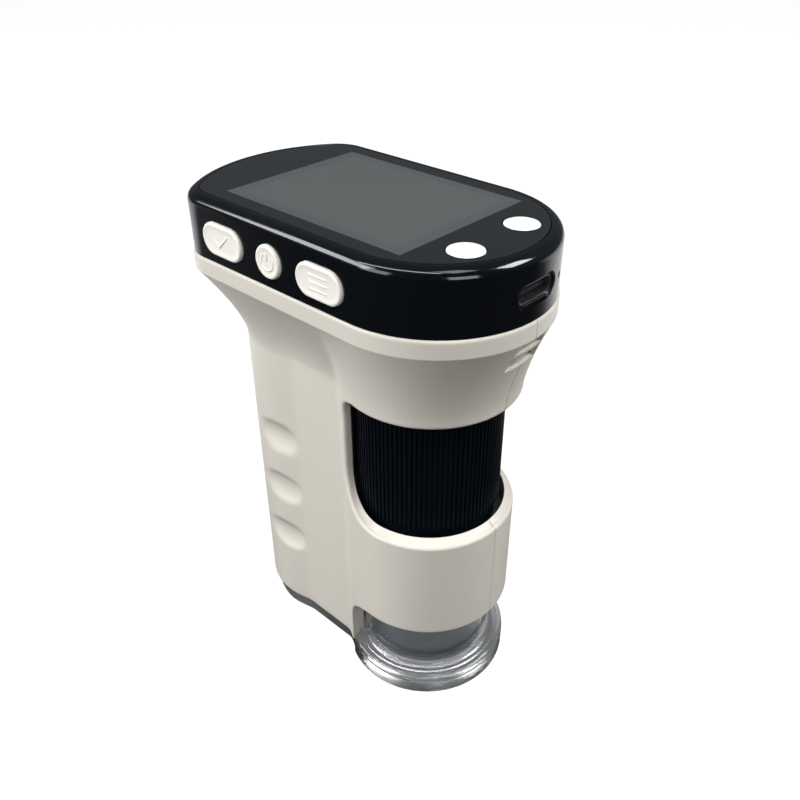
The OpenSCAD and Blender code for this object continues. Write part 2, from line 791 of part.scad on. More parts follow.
module lens_carriage() {
    color([0.10, 0.10, 0.11]) {
        difference() {
            translate([0, 0, carriage_z]) cylinder(r = carriage_r, h = carriage_h);
            translate([0, 0, front_seat_z]) cylinder(r = lens_r, h = carriage_h);
            translate([0, 0, carriage_z - 1]) cylinder(r = lens_r - 0.9, h = 4);
            translate([0, 0, cell_top_z]) cylinder(r = carriage_r - 1.5, h = carriage_h);
        }
        for (k = [0:2]) rotate([0, 0, 90 + 120 * k])
            translate([carriage_r - 1, 0, pin_z]) rotate([0, 90, 0])
                cylinder(r = pin_r, h = pin_tip_r - carriage_r + 1);
    }
}

// Lens of edge thickness lens_edge with one curved and one flat face; the flat rim round the
// curved face is what the carriage and the spacer bear on
module lens(z, bulge, up) {
    cap_r = lens_r - 1;
    r = (cap_r * cap_r + bulge * bulge) / (2 * bulge);
    color([0.80, 0.88, 0.92, 0.5]) translate([0, 0, z]) {
        cylinder(r = lens_r, h = lens_edge);
        intersection() {
            translate([0, 0, up ? lens_edge + bulge - r : r - bulge]) sphere(r = r);
            translate([0, 0, up ? lens_edge - 0.2 : -bulge])
                cylinder(r = cap_r, h = bulge + 0.2);
        }
    }
}
module front_lens() { lens(front_seat_z, 0.8, true); }
module rear_lens() { lens(rear_seat_z, 1, false); }
module lens_spacer() {
    color([0.12, 0.12, 0.12]) tube(lens_r, lens_r - 0.9, front_seat_z + lens_edge, rear_seat_z);
}
module lens_retainer() {
    color([0.12, 0.12, 0.12]) difference() {
        tube(lens_r, lens_r - 1, rear_seat_z + lens_edge, cell_top_z);
        for (s = [0, 180]) rotate([0, 0, s])
            translate([lens_r - 1.5, -0.5, cell_top_z - 0.6]) cube([2, 1, 1]);
    }
}

module sensor_board() {
    color(board_green) difference() {
        translate([0, 0, sensor_board_z]) cylinder(r = guide_flange_r - 0.2, h = sensor_board_t);
        for (s = [-1, 1]) translate([s * (guide_r - 0.1), 0, sensor_board_z - 1])
            cylinder(r = 0.6, h = 4);
    }
}

module sensor_screws() {
    color("silver") for (s = [-1, 1]) translate([s * (guide_r - 0.1), 0, 0]) {
        translate([0, 0, sensor_board_z - 1.3]) cylinder(r = 0.5, h = sensor_board_t + 1.4);
        translate([0, 0, sensor_board_z + sensor_board_t]) cylinder(r = 0.95, h = 0.7);
    }
}

module image_sensor() {
    color([0.16, 0.18, 0.22]) block(7, 7, sensor_board_z - 1.3, sensor_board_z);
}

// Ribbon from the sensor board up to its socket under the main board
module sensor_flex() {
    t = 0.3;
    w = 6;
    z0 = sensor_board_z + sensor_board_t;
    z1 = board_z - 1.6;
    color([0.75, 0.45, 0.12]) translate([-2 + w / 2, 0, 0]) rotate([90, 0, -90])
        linear_extrude(w) mirror([1, 0]) {
            translate([3, z0]) square([flex_y - 3 - t, t]);
            translate([flex_y - t, z0]) square([t, z1 - z0]);
            translate([flex_y - t - tiny, z0]) square([2 * tiny, t]);
        }
}

// --- lamp and hood ---------------------------------------------------------------------
led_board_t = 1.2;
led_board_z = guide_z - led_board_t;
hood_flange_t = 2;
hood_wall = 1.2;
hood_fit = 0.04;

module light_hood() {
    color([0.22, 0.24, 0.26]) {
        tube(guide_r + hood_wall, guide_r + hood_fit, flange_h, wheel_z);
        tube(bore_r - 0.2, guide_r + hood_fit, wheel_z - hood_flange_t, wheel_z);
    }
}

module led_board() {
    color(board_green) tube(guide_r, lens_r, led_board_z, guide_z);
}

module leds() {
    ring_r = (guide_r + lens_r) / 2;
    color([0.95, 0.93, 0.75]) for (k = [0:led_count - 1]) rotate([0, 0, 360 * k / led_count])
        block(2.8, 2, led_board_z - 0.9, led_board_z, 0, ring_r);
}

left_shell();
right_shell();
clear_foot();
top_bezel();
display_window();
lcd_gasket();
lcd_panel();
lcd_frame();
lcd_tray();
main_board();
board_chips();
board_screws();
usb_port();
side_switches();
top_switches();
ok_key();
power_key();
menu_key();
top_key_left();
top_key_right();
battery_cell();
battery_pad();
battery_wires();
guide_tube();
sensor_board();
image_sensor();
sensor_screws();
sensor_flex();
friction_ring();
focus_wheel();
lens_carriage();
front_lens();
rear_lens();
lens_spacer();
lens_retainer();
led_board();
leds();
light_hood();
case_screws();
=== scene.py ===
import math
import bmesh
import bpy
import numpy as np
from mathutils import Matrix, Vector
from mathutils.geometry import tessellate_polygon


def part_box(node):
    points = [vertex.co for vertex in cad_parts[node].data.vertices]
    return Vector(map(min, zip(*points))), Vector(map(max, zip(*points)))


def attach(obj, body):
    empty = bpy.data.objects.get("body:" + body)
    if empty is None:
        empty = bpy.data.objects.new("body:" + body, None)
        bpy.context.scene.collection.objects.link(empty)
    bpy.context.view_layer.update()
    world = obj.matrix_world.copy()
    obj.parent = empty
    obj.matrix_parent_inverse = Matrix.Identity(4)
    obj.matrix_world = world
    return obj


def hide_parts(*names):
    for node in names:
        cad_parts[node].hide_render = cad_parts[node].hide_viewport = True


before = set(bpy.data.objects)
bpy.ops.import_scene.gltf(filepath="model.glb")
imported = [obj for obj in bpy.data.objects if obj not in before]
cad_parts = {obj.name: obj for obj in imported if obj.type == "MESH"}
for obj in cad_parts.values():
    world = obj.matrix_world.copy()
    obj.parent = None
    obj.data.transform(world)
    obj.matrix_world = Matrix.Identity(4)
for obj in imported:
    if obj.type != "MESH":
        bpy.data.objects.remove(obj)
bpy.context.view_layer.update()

MM = 0.001

# ---------------------------------------------------------------- camera, floor, light
# A close view from the front left, from above, as an instrument is shown on a table. The
# floor is a plain pale sheet to the camera, with painted shade in what reflections, bounced
# light and clear pieces show of it, and the light comes from soft boxes.
azimuth, elevation = math.radians(-47.618), math.radians(32.653)
focal, middle_x, middle_y, picture, sensor_mm = 820.591, 405.107, 384.567, 800.0, 36.0
back = Vector((math.sin(azimuth) * math.cos(elevation),
               -math.cos(azimuth) * math.cos(elevation), math.sin(elevation)))
right = Vector((math.cos(azimuth), math.sin(azimuth), 0.0))
up = back.cross(right)
camera_data = bpy.data.cameras.new("camera")
camera_data.sensor_width = sensor_mm
camera_data.lens = focal * sensor_mm / picture
camera_data.shift_x = (picture / 2 - middle_x) / picture
camera_data.shift_y = (middle_y - picture / 2) / picture
camera_data.clip_start = 0.01
camera = bpy.data.objects.new("camera", camera_data)
camera.matrix_world = Matrix.Translation(Vector((-97.452, -82.661, 148.1)) * MM) @ Matrix(
    (right, up, back)).transposed().to_4x4()
bpy.context.scene.collection.objects.link(camera)
bpy.context.scene.camera = camera
bpy.context.scene.view_settings.view_transform = "Standard"


def plug(tree, node, sockets):
    """Gives each socket of a shader node its value or, where that is an output, a link."""
    for socket, value in sockets.items():
        if isinstance(value, bpy.types.NodeSocket):
            tree.links.new(value, node.inputs[socket])
        else:
            node.inputs[socket].default_value = value


def add_node(tree, kind, sockets, **settings):
    """New shader node of a kind, with its attributes and its sockets set."""
    node = tree.nodes.new("ShaderNode" + kind)
    for name, value in settings.items():
        setattr(node, name, value)
    plug(tree, node, sockets)
    return node


def calc(tree, operation, *values, kind="Math", out=0):
    """Output of a node that works one operation on values or outputs."""
    return add_node(tree, kind, dict(enumerate(values)), operation=operation).outputs[out]


def map_range(tree, value, span, target=(0.0, 1.0), **settings):
    """Output that runs over the target while value runs over the span, and stays at its ends."""
    names = ("Value", "From Min", "From Max", "To Min", "To Max")
    return add_node(tree, "MapRange", dict(zip(names, (value, *span, *target))),
                    **settings).outputs[0]


def background_rays(tree, through=0.0):
    """1 for rays that come straight from the camera, which meet a plain white background, and
    the share through for rays that have passed a clear piece."""
    path = add_node(tree, "LightPath", {}).outputs
    return calc(tree, "MAXIMUM", path["Is Camera Ray"],
                calc(tree, "MULTIPLY", path["Is Transmission Ray"], through))


def front_left(tree, place, far, near):
    """0 for places or directions at the rear right, 1 at the front left: their measure along
    that direction, mapped smoothly from the two given amounts."""
    along = calc(tree, "DOT_PRODUCT", place, (-0.739, -0.674, 0.0), kind="VectorMath", out="Value")
    return map_range(tree, along, (far, near), interpolation_type="SMOOTHSTEP")


# the room is darker at the front left
world = bpy.data.worlds.new("studio")
bpy.context.scene.world = world
world.use_nodes = True
sky = world.node_tree
sky.nodes.clear()
sky_place = add_node(sky, "TexCoord", {}).outputs["Generated"]
sky_power = map_range(sky, front_left(sky, sky_place, -0.2, 0.75), (0.0, 1.0), (0.14, 0.02))
sky_light = add_node(sky, "Background", {"Color": (0.93, 0.96, 1.0, 1.0), "Strength": sky_power})
sky_white = add_node(sky, "Background", {"Color": (1.0, 1.0, 1.0, 1.0)})
sky_mix = add_node(sky, "MixShader", {0: background_rays(sky), 1: sky_light.outputs[0],
                                      2: sky_white.outputs[0]})
add_node(sky, "OutputWorld", {0: sky_mix.outputs[0]})

floor_mesh = bpy.data.meshes.new("floor")
floor_mesh.from_pydata([(-3, -3, 0), (3, -3, 0), (3, 3, 0), (-3, 3, 0)], [], [(0, 1, 2, 3)])
floor = bpy.data.objects.new("floor", floor_mesh)
bpy.context.scene.collection.objects.link(floor)
floor_paint = bpy.data.materials.new("floor_paper")
floor_paint.use_nodes = True
paper = floor_paint.node_tree
paper.nodes.clear()
paper_place = add_node(paper, "TexCoord", {}).outputs["Object"]
# painted shade: in reflections, bounced light and views through clear pieces the paper darkens
# from 0.85 at the rear right to 0.02 at the front left, the shaded side of the room
paper_painted_shade = add_node(paper, "ValToRGB", {"Fac": front_left(paper, paper_place, -0.14, 0.0)})
tones = paper_painted_shade.color_ramp.elements
tones[0].color = (0.85, 0.85, 0.86, 1.0)
tones[1].color = (0.02, 0.02, 0.022, 1.0)
tones.new(0.62).color = (0.14, 0.14, 0.145, 1.0)
paper_matt = add_node(paper, "BsdfDiffuse", {"Color": paper_painted_shade.outputs["Color"]})
paper_seen = add_node(paper, "BsdfDiffuse", {"Color": (0.16, 0.16, 0.16, 1.0)})
paper_glow = add_node(paper, "Emission", {"Strength": 0.93})
paper_add = add_node(paper, "AddShader", {0: paper_seen.outputs[0], 1: paper_glow.outputs[0]})
# painted shadow: seen through the clear foot, the paper under the instrument is dark, the shadow
# it casts there; the oval covers its footprint
oval_middle, oval_radii = (-0.0012, 0.0124, 0.0), (0.0190, 0.0320, 1.0)
paper_out = calc(paper, "SUBTRACT", paper_place, oval_middle, kind="VectorMath")
paper_out = calc(paper, "DIVIDE", paper_out, oval_radii, kind="VectorMath")
paper_out = calc(paper, "LENGTH", paper_out, kind="VectorMath", out="Value")
paper_outside_painted_shadow = map_range(paper, paper_out, (0.90, 1.15), (0.17, 0.80))
paper_mix = add_node(paper, "MixShader", {0: background_rays(paper, paper_outside_painted_shadow),
                                          1: paper_matt.outputs[0], 2: paper_add.outputs[0]})
add_node(paper, "OutputMaterial", {0: paper_mix.outputs[0]})
floor_mesh.materials.append(floor_paint)

# a long strip to the upper left, which draws a line of light along the bezel's edge, and
# five soft boxes, the strongest at the front right and behind on the left
lamp_aim = Vector((0.0, 0.01, 0.06))
for name, place, along, size, power in (
        ("strip_left", (-0.36, 0.06, 0.69), (0.15, -0.786, 0.17), (0.07, 0.75), 2.1),
        ("softbox_left", (-0.80, 0.20, 0.34), (0.0, 0.0, 1.0), (0.40, 0.35), 2.0),
        ("softbox_rear", (-0.595, 0.48, 0.46), (0.0, 0.0, 1.0), (0.50, 0.34), 5.2),
        ("softbox_right", (0.36, -0.50, 0.62), (0.0, 0.0, 1.0), (0.35, 0.30), 5.8),
        ("softbox_front", (-0.35, -0.70, 0.30), (0.0, 0.0, 1.0), (0.35, 0.30), 1.7),
        ("softbox_above", (-0.10, -0.30, 0.90), (0.0, 1.0, 0.0), (0.30, 0.30), 1.3)):
    lamp_data = bpy.data.lights.new(name, "AREA")
    lamp_data.shape = "RECTANGLE"
    lamp_data.size, lamp_data.size_y = size
    lamp_data.energy = power
    lamp = bpy.data.objects.new(name, lamp_data)
    out = (Vector(place) - lamp_aim).normalized()
    long_axis = (Vector(along) - out * Vector(along).dot(out)).normalized()
    lamp.matrix_world = Matrix.Translation(place) @ Matrix(
        (long_axis.cross(out), long_axis, out)).transposed().to_4x4()
    bpy.context.scene.collection.objects.link(lamp)

# ---------------------------------------------------------------- half shells
# Two half shells of warm white ABS, injection moulded with a fine satin texture and screwed
# together from the right in the plane x = 0. They form the grip, the neck under the head and
# the barrel, which is cut open in front for the focusing wheel and below it for the foot.
head_half, head_front_y, head_rear_y = 21.0, -0.75, 49.25
rear_arc_r, head_corner_r = 29.5, 8.5
barrel_r, grip_r, grip_y, waist_half = 17.0, 14.6, 29.7, 13.55
hub_y = 16.0
wall = 1.8
lip_top, lip_foot, neck_foot = 87.6, 84.3, 68.5
window_low, window_high, window_rear = 41.5, 67.9, 8.0
window_low_r, window_high_r = 9.5, 4.6
arch_top, arch_r = 18.5, 8.0
shell_foot = 3.0
rear_cy = head_rear_y - rear_arc_r
corner_x = head_half - head_corner_r
corner_y = rear_cy + math.sqrt((rear_arc_r - head_corner_r) ** 2 - corner_x ** 2)


def ray(a, cx, cy, r):
    """Distance from the hub at angle a to the far side of a circle, or where the ray misses
    it to the point nearest its centre; never below 0."""
    ux, uy, dy = np.abs(np.cos(a)), np.sin(a), cy - hub_y
    b = cx * ux + dy * uy
    return np.maximum(0.0, b + np.sqrt(np.maximum(r * r - cx * cx - dy * dy + b * b, 0.0)))


def head_reach(a, d):
    """Distance from the hub to the head's outline, moved in by d: front half circle, two
    straight sides, two corner arcs and a shallow arc at the rear."""
    cos_a = np.maximum(np.abs(np.cos(a)), 1e-6)
    t = (head_half - d) / cos_a
    y = hub_y + t * np.sin(a)
    rear = ray(a, 0.0, rear_cy, rear_arc_r - d)
    on_rear = rear * cos_a * (corner_y - rear_cy) < (hub_y + rear * np.sin(a) - rear_cy) * corner_x
    out = np.where(on_rear, rear, ray(a, corner_x, corner_y, head_corner_r - d))
    out = np.where(y < corner_y, t, out)
    return np.where(y < head_front_y, ray(a, 0.0, head_front_y, head_half - d), out)


def body_reach(a, d):
    """Distance from the hub to the body's outline, moved in by d: barrel circle and grip
    circle, joined by the two flat sides of the waist with a soft change-over."""
    t = (waist_half - d) / np.maximum(np.abs(np.cos(a)), 1e-6)
    y = hub_y + t * np.sin(a)
    waist = np.where((y > 0) & (y < grip_y), t, 0.0)
    round_ = np.maximum(ray(a, 0.0, 0.0, barrel_r - d), ray(a, 0.0, grip_y, grip_r - d))
    soft = 1.2
    h = np.maximum(soft - np.abs(round_ - waist), 0.0) / soft
    return np.maximum(round_, waist) + h * h * soft / 4


def body_share(z):
    """0 on the lip, 1 below the neck, and between them 1 - (1 - t)^1.5 for a hollow curve."""
    t = np.clip((lip_foot - z) / (lip_foot - neck_foot), 0.0, 1.0)
    return 1.0 - (1.0 - t) ** 1.5


def outline(a, z, d):
    """Point of the moulded outside at angle a and height z, moved in by d."""
    g = body_share(z)
    r = (1.0 - g) * head_reach(a, d) + g * body_reach(a, d)
    return r * np.cos(a), hub_y + r * np.sin(a)


def add_piece(name, points, faces, material, body, slot_name, *nodes, sharp=None, bevel=0.0):
    """Mesh from points in millimetres and faces; rides on body and stands for nodes."""
    mesh = bpy.data.meshes.new(name)
    mesh.from_pydata((np.asarray(points, float) * MM).tolist(), [], [list(f) for f in faces])
    work = bmesh.new()
    work.from_mesh(mesh)
    bmesh.ops.remove_doubles(work, verts=work.verts, dist=2e-6)
    bmesh.ops.recalc_face_normals(work, faces=work.faces)
    work.to_mesh(mesh)
    work.free()
    mesh.polygons.foreach_set("use_smooth", np.ones(len(mesh.polygons), bool))
    mesh.materials.append(material)
    mesh.update()
    piece = bpy.data.objects.new(name, mesh)
    bpy.context.scene.collection.objects.link(piece)
    if sharp is not None:
        mesh.set_sharp_from_angle(angle=math.radians(sharp))
    if bevel:
        rim = piece.modifiers.new("rim", "BEVEL")
        rim.width, rim.segments = bevel * MM, 3
        rim.limit_method, rim.angle_limit = "ANGLE", math.radians(50)
        rim.harden_normals = False
    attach(piece, body)
    if nodes:
        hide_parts(*nodes)


def grid_faces(rows, columns, around=False, skip=None):
    """Quads of a grid of rows x columns points stored row by row; around closes the rows
    into rings; skip is an array that is True for cells to leave out."""
    last = columns if around else columns - 1
    i, j = np.meshgrid(np.arange(rows - 1), np.arange(last), indexing="ij")
    k = (j + 1) % columns
    quads = np.stack([i * columns + j, i * columns + k, (i + 1) * columns + k,
                      (i + 1) * columns + j], -1)
    return (quads if skip is None else quads[~skip]).reshape(-1, 4)


def stack_faces(rings, count):
    """Faces of a stack of rings of count points, with a flat face at each end."""
    last = (rings - 1) * count
    return grid_faces(rings, count, around=True).tolist() + [
        list(range(count))[::-1], list(range(last, last + count))]


def polar(a, r, z):
    """Points at angle a round the optical axis, radius r and height z."""
    return np.stack(np.broadcast_arrays(r * np.cos(a), r * np.sin(a), z), -1)


def length_along(x, y):
    """Length of a line of points up to each of them."""
    return np.concatenate([[0.0], np.cumsum(np.hypot(np.diff(x), np.diff(y)))])


def start_material(name):
    """New material; returns it with its node tree, its shader and Object coordinates."""
    material = bpy.data.materials.new(name)
    material.use_nodes = True
    tree = material.node_tree
    place = add_node(tree, "TexCoord", {}).outputs["Object"]
    return material, tree, tree.nodes["Principled BSDF"], place


def noise(tree, place, scale, detail=2.0):
    """Output of a noise texture, scale cells to the metre."""
    return add_node(tree, "TexNoise", {"Vector": place, "Scale": scale,
                                       "Detail": detail}).outputs["Fac"]


def bump(tree, height, strength, deep):
    """Normal of a surface raised by height times deep, in metres."""
    return add_node(tree, "Bump", {"Height": height, "Strength": strength,
                                   "Distance": deep}).outputs["Normal"]


def rgb_mix(tree, factor, first, second):
    """Colour first where factor is 0 and second where it is 1."""
    pair = [(*c, 1.0) if isinstance(c, tuple) else c for c in (first, second)]
    return add_node(tree, "Mix", {0: factor, 6: pair[0], 7: pair[1]}, data_type="RGBA").outputs[2]


def moulded(name, colour, roughness, grain_mm=0.35, grain=0.12, mottle=0.03, specular=0.5):
    """Injection-moulded plastic: a fine spark-eroded grain as bump, a faint broad mottle in
    the colour and a little unevenness in the gloss."""
    material, tree, shader, place = start_material(name)
    broad = noise(tree, place, 60.0, 4.0)
    dark = tuple(c * (1.0 - mottle) for c in colour)
    light = tuple(min(1.0, c * (1.0 + mottle)) for c in colour)
    gloss = (max(roughness - 0.04, 0.02), roughness + 0.04)
    fine = noise(tree, place, 1000.0 / grain_mm / 2.0, 3.0)
    plug(tree, shader, {"Base Color": rgb_mix(tree, broad, dark, light),
                        "Roughness": map_range(tree, broad, (0.0, 1.0), gloss),
                        "Normal": bump(tree, fine, grain, 0.04 * MM),
                        "Specular IOR Level": specular})
    return material


shell_abs = moulded("white_abs", (0.640, 0.610, 0.545), 0.42, grain_mm=0.30, grain=0.15,
                    mottle=0.012, specular=0.45)

# heights of the grid's rows, closer where an opening's corner turns and round the louvres
rim_steps = np.array([0.9, 0.72, 0.55, 0.4, 0.27, 0.16, 0.08, 0.02, 0.0])
quarter = np.radians(np.linspace(0.0, 90.0, 15)[1:])
edge = np.array([0.0, 0.08, 0.25, 0.5])
row_z = np.concatenate([
    shell_foot + edge, np.linspace(3.5, arch_top - arch_r, 14)[1:],
    arch_top - arch_r + arch_r * np.sin(quarter),
    [18.53, 18.6, 18.72, 18.9], np.linspace(19.4, 40.4, 43), window_low - rim_steps,
    window_low + window_low_r * (1 - np.cos(quarter)),
    np.linspace(window_low + window_low_r, window_high - window_high_r, 28)[1:],
    window_high - window_high_r + window_high_r * np.sin(quarter[1::2]),
    window_high + rim_steps[::-1][1:], np.linspace(69.9, 78.55, 18),
    [78.60, 78.70, 78.82, 78.88, 79.9, 80.4, 80.9, 81.38, 81.42, 81.7, 81.95, 82.0],
    [82.08, 82.17, 82.22, 83.0, 83.6, 84.15, 84.2, lip_foot],
    [84.42, 85.0, 85.6, 86.2, 86.8, 87.1, 87.35, 87.52, lip_top]])
# how far the outline is drawn in on a row, for the rounded lower and upper edges
row_in = np.zeros(len(row_z))
row_in[:4] = 0.5 - np.sqrt(np.maximum(0.25 - (0.5 - edge) ** 2, 0.0))
row_in[-3:] = [0.05, 0.16, 0.40]


def cut_edge(z):
    """Y at which the outside ends, or is divided, at height z: the rear edges of the arch
    and of the wheel's window with their rounded corners, and a line between them."""
    y = np.full_like(z, window_rear)
    for middle, r, low, high in (
            (arch_top - arch_r, arch_r, arch_top - arch_r, arch_top),
            (window_low + window_low_r, window_low_r, window_low, window_low + window_low_r),
            (window_high - window_high_r, window_high_r, window_high - window_high_r,
             window_high)):
        k = (z >= low) & (z <= high)
        y[k] = window_rear - r + np.sqrt(np.maximum(r ** 2 - (z[k] - middle) ** 2, 0))
    for low, high, y_low, y_high in (
            (arch_top, window_low, window_rear - arch_r, window_rear - window_low_r),
            (window_high, lip_top, window_rear - window_high_r, -2.0)):
        k = (z > low) & (z <= high)
        y[k] = np.interp(z[k], [low, high], [y_low, y_high])
    return y


# columns of the grid: up to the cut edge, on to the front, and there the last ones at given
# distances in x; each half of the louvres is up to vent_half wide and takes vent_columns
rear_columns, side_columns, vent_columns = 84 + len(rim_steps) - 1, 26, 8
vent_half, vent_step = 3.95, 0.06
front_x = np.array([5.2, 4.6])
inner_x = np.array([3.4, 2.7, 2.0, 1.3, 0.65, 0.16, 0.0])


def half_grid(d):
    """Points of the left half's skin moved in by d, as rows x columns x 3. Each row runs from
    the rear seam to the cut edge in even steps, on to x = -5.2 and then to the front seam.
    The louvres' ends lean out from x = 3 at the top, 0.31 per mm, to vent_half."""
    dense = np.radians(np.linspace(90.0, 270.0, 2401))
    front = dense > math.radians(180)
    skin = []
    for z, row_d, cut in zip(row_z, row_in, cut_edge(row_z)):
        x, y = outline(dense, z, d + row_d)
        run = length_along(x, y)
        at_cut = np.interp(-cut, -y, run)
        vent_x = np.clip(3.0 + 0.31 * (84.2 - z), 3.0, vent_half)
        xs = -np.concatenate([front_x, [vent_x + vent_step, vent_x], inner_x * vent_x / vent_half])
        at_x = np.interp(xs, x[front], run[front])
        s = np.concatenate([[0.0, 0.12],
                            np.linspace(0.5, at_cut - 0.9, rear_columns - len(rim_steps))[:-1],
                            (at_cut - rim_steps)[:-1],
                            np.linspace(at_cut, at_x[0], side_columns + 1)[:-1], at_x])
        skin.append(np.stack([np.interp(s, run, x), np.interp(s, run, y), np.full_like(s, z)], 1))
    skin = np.stack(skin)
    skin[:, 0, 0] = skin[:, -1, 0] = 0.0
    return skin


def from_window(y, z):
    """Distance, in the side view, from a point out to the edge of the wheel's window, with
    the part of it that counts upwards: -1 below the window, 0 beside it, 1 above it."""
    low_mid, high_mid = window_low + window_low_r, window_high - window_high_r
    far = np.maximum(y - window_rear, np.maximum(window_low - z, z - window_high))
    halfway = 55.0
    rise = np.where(z < halfway, -1.0, 1.0) * (y < window_rear - 3.0)
    for zc, r, sign in ((low_mid, window_low_r, -1.0), (high_mid, window_high_r, 1.0)):
        dy, dz = y - (window_rear - r), (z - zc) * sign
        turn = (dy > 0) & (dz > 0)
        out = np.hypot(dy, dz)
        far = np.where(turn, out - r, far)
        rise = np.where(turn, sign * dz / np.maximum(out, 1e-6), rise)
        rise = np.where((dy > 0) & (dz <= 0) & ((z - halfway) * sign > 0), 0.0, rise)
    return far, rise


def round_edges(outside, inside):
    """Rounds the outer edge of the window with a radius of 0.75, 1.15 at its side, and that
    of the arch with 0.3, by moving points of the skin in, and slopes the collar's rim."""
    y, z = outside[..., 1], outside[..., 2]
    far, rise = from_window(y, z)
    arch_mid = arch_top - arch_r
    arch = np.maximum(y - window_rear, z - arch_top)
    dy, dz = y - (window_rear - arch_r), z - arch_mid
    arch = np.where((dy > 0) & (dz > 0), np.hypot(dy, dz) - arch_r, arch)
    drop = np.zeros_like(far)
    for e, r in ((far, 1.15 - 0.40 * np.abs(rise)), (arch, 0.30)):
        near = np.clip(r - e, 0.0, r)
        drop = np.maximum(drop, (r - np.sqrt(np.maximum(r * r - near * near, 0.0))) * (e > -0.01))
    collar = [np.clip(-up, 0, 1) ** 2 * np.exp(-(np.maximum(out, 0) / 1.4) ** 2)
              for out, up in ((far, rise), from_window(inside[..., 1], inside[..., 2]))]
    outside = outside + (inside - outside) * (drop / wall)[..., None]
    outside[..., 2] -= 0.15 * collar[0]
    inside[..., 2] += 0.80 * collar[1]
    return outside, inside


# finger grooves, three scoops in each side of the grip
groove_z, groove_r, groove_axis_x = (48.1, 34.75, 21.4), 6.0, 19.03
groove_front_y, groove_slope = 26.0, 0.0998


def press_grooves(skin):
    """Moves the side of the grip in to the surface of a cylinder of radius groove_r that lies
    along Y and ends in a ball in front, with a soft edge."""
    x, y, z = -skin[..., 0], skin[..., 1], skin[..., 2]
    for zk in groove_z:
        ahead = np.minimum(y - groove_front_y, 0.0)
        inside = groove_r ** 2 - (z - zk) ** 2 - ahead ** 2
        floor_x = groove_axis_x + groove_slope * np.maximum(y - groove_front_y, 0.0) - np.sqrt(
            np.maximum(inside, 0.0))
        floor_x = np.where(inside > 0, floor_x, 1e3)
        soft = 0.35
        h = np.clip(0.5 + 0.5 * (x - floor_x) / soft, 0.0, 1.0)
        x = np.where(y > 18.0, x + (floor_x - x) * h - soft * h * (1 - h), x)
    skin[..., 0] = -x
    return skin


# louvres at the front of the head, (upper edge, lower edge)
vents = ((84.15, 82.0), (81.38, 78.60))


def press_vents(skin):
    """Sets the front back by 0.6 mm behind the lower edges of two louvres, a ledge in front of
    each open slot: y + 0.55 at the edge, y + 0.60 from 8 % of the height on."""
    slot_columns = np.arange(skin.shape[1]) >= skin.shape[1] - vent_columns
    for top, foot in vents:
        t = (skin[..., 2] - foot) / (top - foot)
        skin[..., 1] += slot_columns * np.interp(
            t, [-0.002, -0.001, 0.08, 1.001, 1.002], [0.0, 0.55, 0.60, 0.60, 0.0])
    return skin


def press_seam(skin):
    """Draws the last 0.16 mm beside the middle plane in by 0.15 mm, the bevel on the edge of
    each shell that shows as a fine line."""
    skin[:, 0, 1] -= 0.15
    skin[:, -1, 1] += 0.15
    return skin


outer = press_vents(press_grooves(half_grid(0.0)))
inner = half_grid(wall)
outer, inner = round_edges(outer, inner)
outer = press_seam(outer)
rows, columns = outer.shape[:2]
cell = np.arange(columns - 1)[None, :]
in_arch = row_z[1:] <= arch_top + 1e-6
in_window = (row_z[:-1] >= window_low - 1e-6) & (row_z[1:] <= window_high + 1e-6)
cell_open = (in_arch | in_window)[:, None] & (cell >= rear_columns)
for top, foot in vents:
    in_slot = (row_z[:-1] > foot + 0.15) & (row_z[:-1] < top + 0.02)
    cell_open |= in_slot[:, None] & (cell >= columns - 1 - vent_columns)


def border_of(open_cells, rows, columns):
    """Grid edges that have a cell on one side only, as pairs of point numbers, directed as
    the face that owns them runs."""
    quads = grid_faces(rows, columns, skip=open_cells)
    edges = np.concatenate([quads[:, [k, (k + 1) % 4]] for k in range(4)])
    key = np.sort(edges, 1)
    _, index, count = np.unique(key[:, 0] * (rows * columns) + key[:, 1], return_index=True,
                                return_counts=True)
    return edges[index[count == 1]]


def block_border(c0, c1, k0, k1):
    """(column, row) pairs round a block of cells, once round."""
    c, k = np.arange(c0, c1), np.arange(k0, k1)
    return np.concatenate([np.stack([c, np.full_like(c, k0)], 1),
                           np.stack([np.full_like(k, c1), k], 1),
                           np.stack([c[::-1] + 1, np.full_like(c, k1)], 1),
                           np.stack([np.full_like(k, c0), k[::-1] + 1], 1)])


def ring_quads(a, b):
    """Quads between two loops of equally many point numbers."""
    a, b = np.asarray(a), np.asarray(b)
    return np.stack([a, np.roll(a, -1), np.roll(b, -1), b], 1)


# screw posts between the half shells, (y, z, radius); each has a well for the screw's head in
# the right half, and the one in front stands close to the wall
posts = ((30.5, 8.8, 3.3), (31.5, 68.0, 3.3), (-13.2, 78.2, 2.6), (36.0, 80.0, 3.3))
head_bore_r, screw_bore_r, pilot_r = 2.5, 1.3, 1.0
head_seat, pilot_deep = 4.0, 8.0


def post_block(y, z, r):
    """Block of cells (first and last column, first and last row) round a post, in both skins."""
    far = r + 0.05
    k0 = np.nonzero(row_z <= z - far)[0][-1]
    k1 = np.nonzero(row_z >= z + far)[0][0]
    band = np.concatenate([outer[k0:k1 + 1, :, 1], inner[k0:k1 + 1, :, 1]])
    c0 = np.nonzero(band.min(0) >= y + far)[0][-1]
    c1 = np.nonzero(band.max(0) <= y - far)[0][0]
    return c0, c1, k0, k1


def skin_x(y, z, d):
    """X of the left skin, moved in by d, at the given places of the side view."""
    a = np.radians(np.linspace(90.0, 270.0, 1201))
    return np.array([np.interp(-yk, -outline(a, zk, d)[1], outline(a, zk, d)[0])
                     for yk, zk in zip(y, z)])


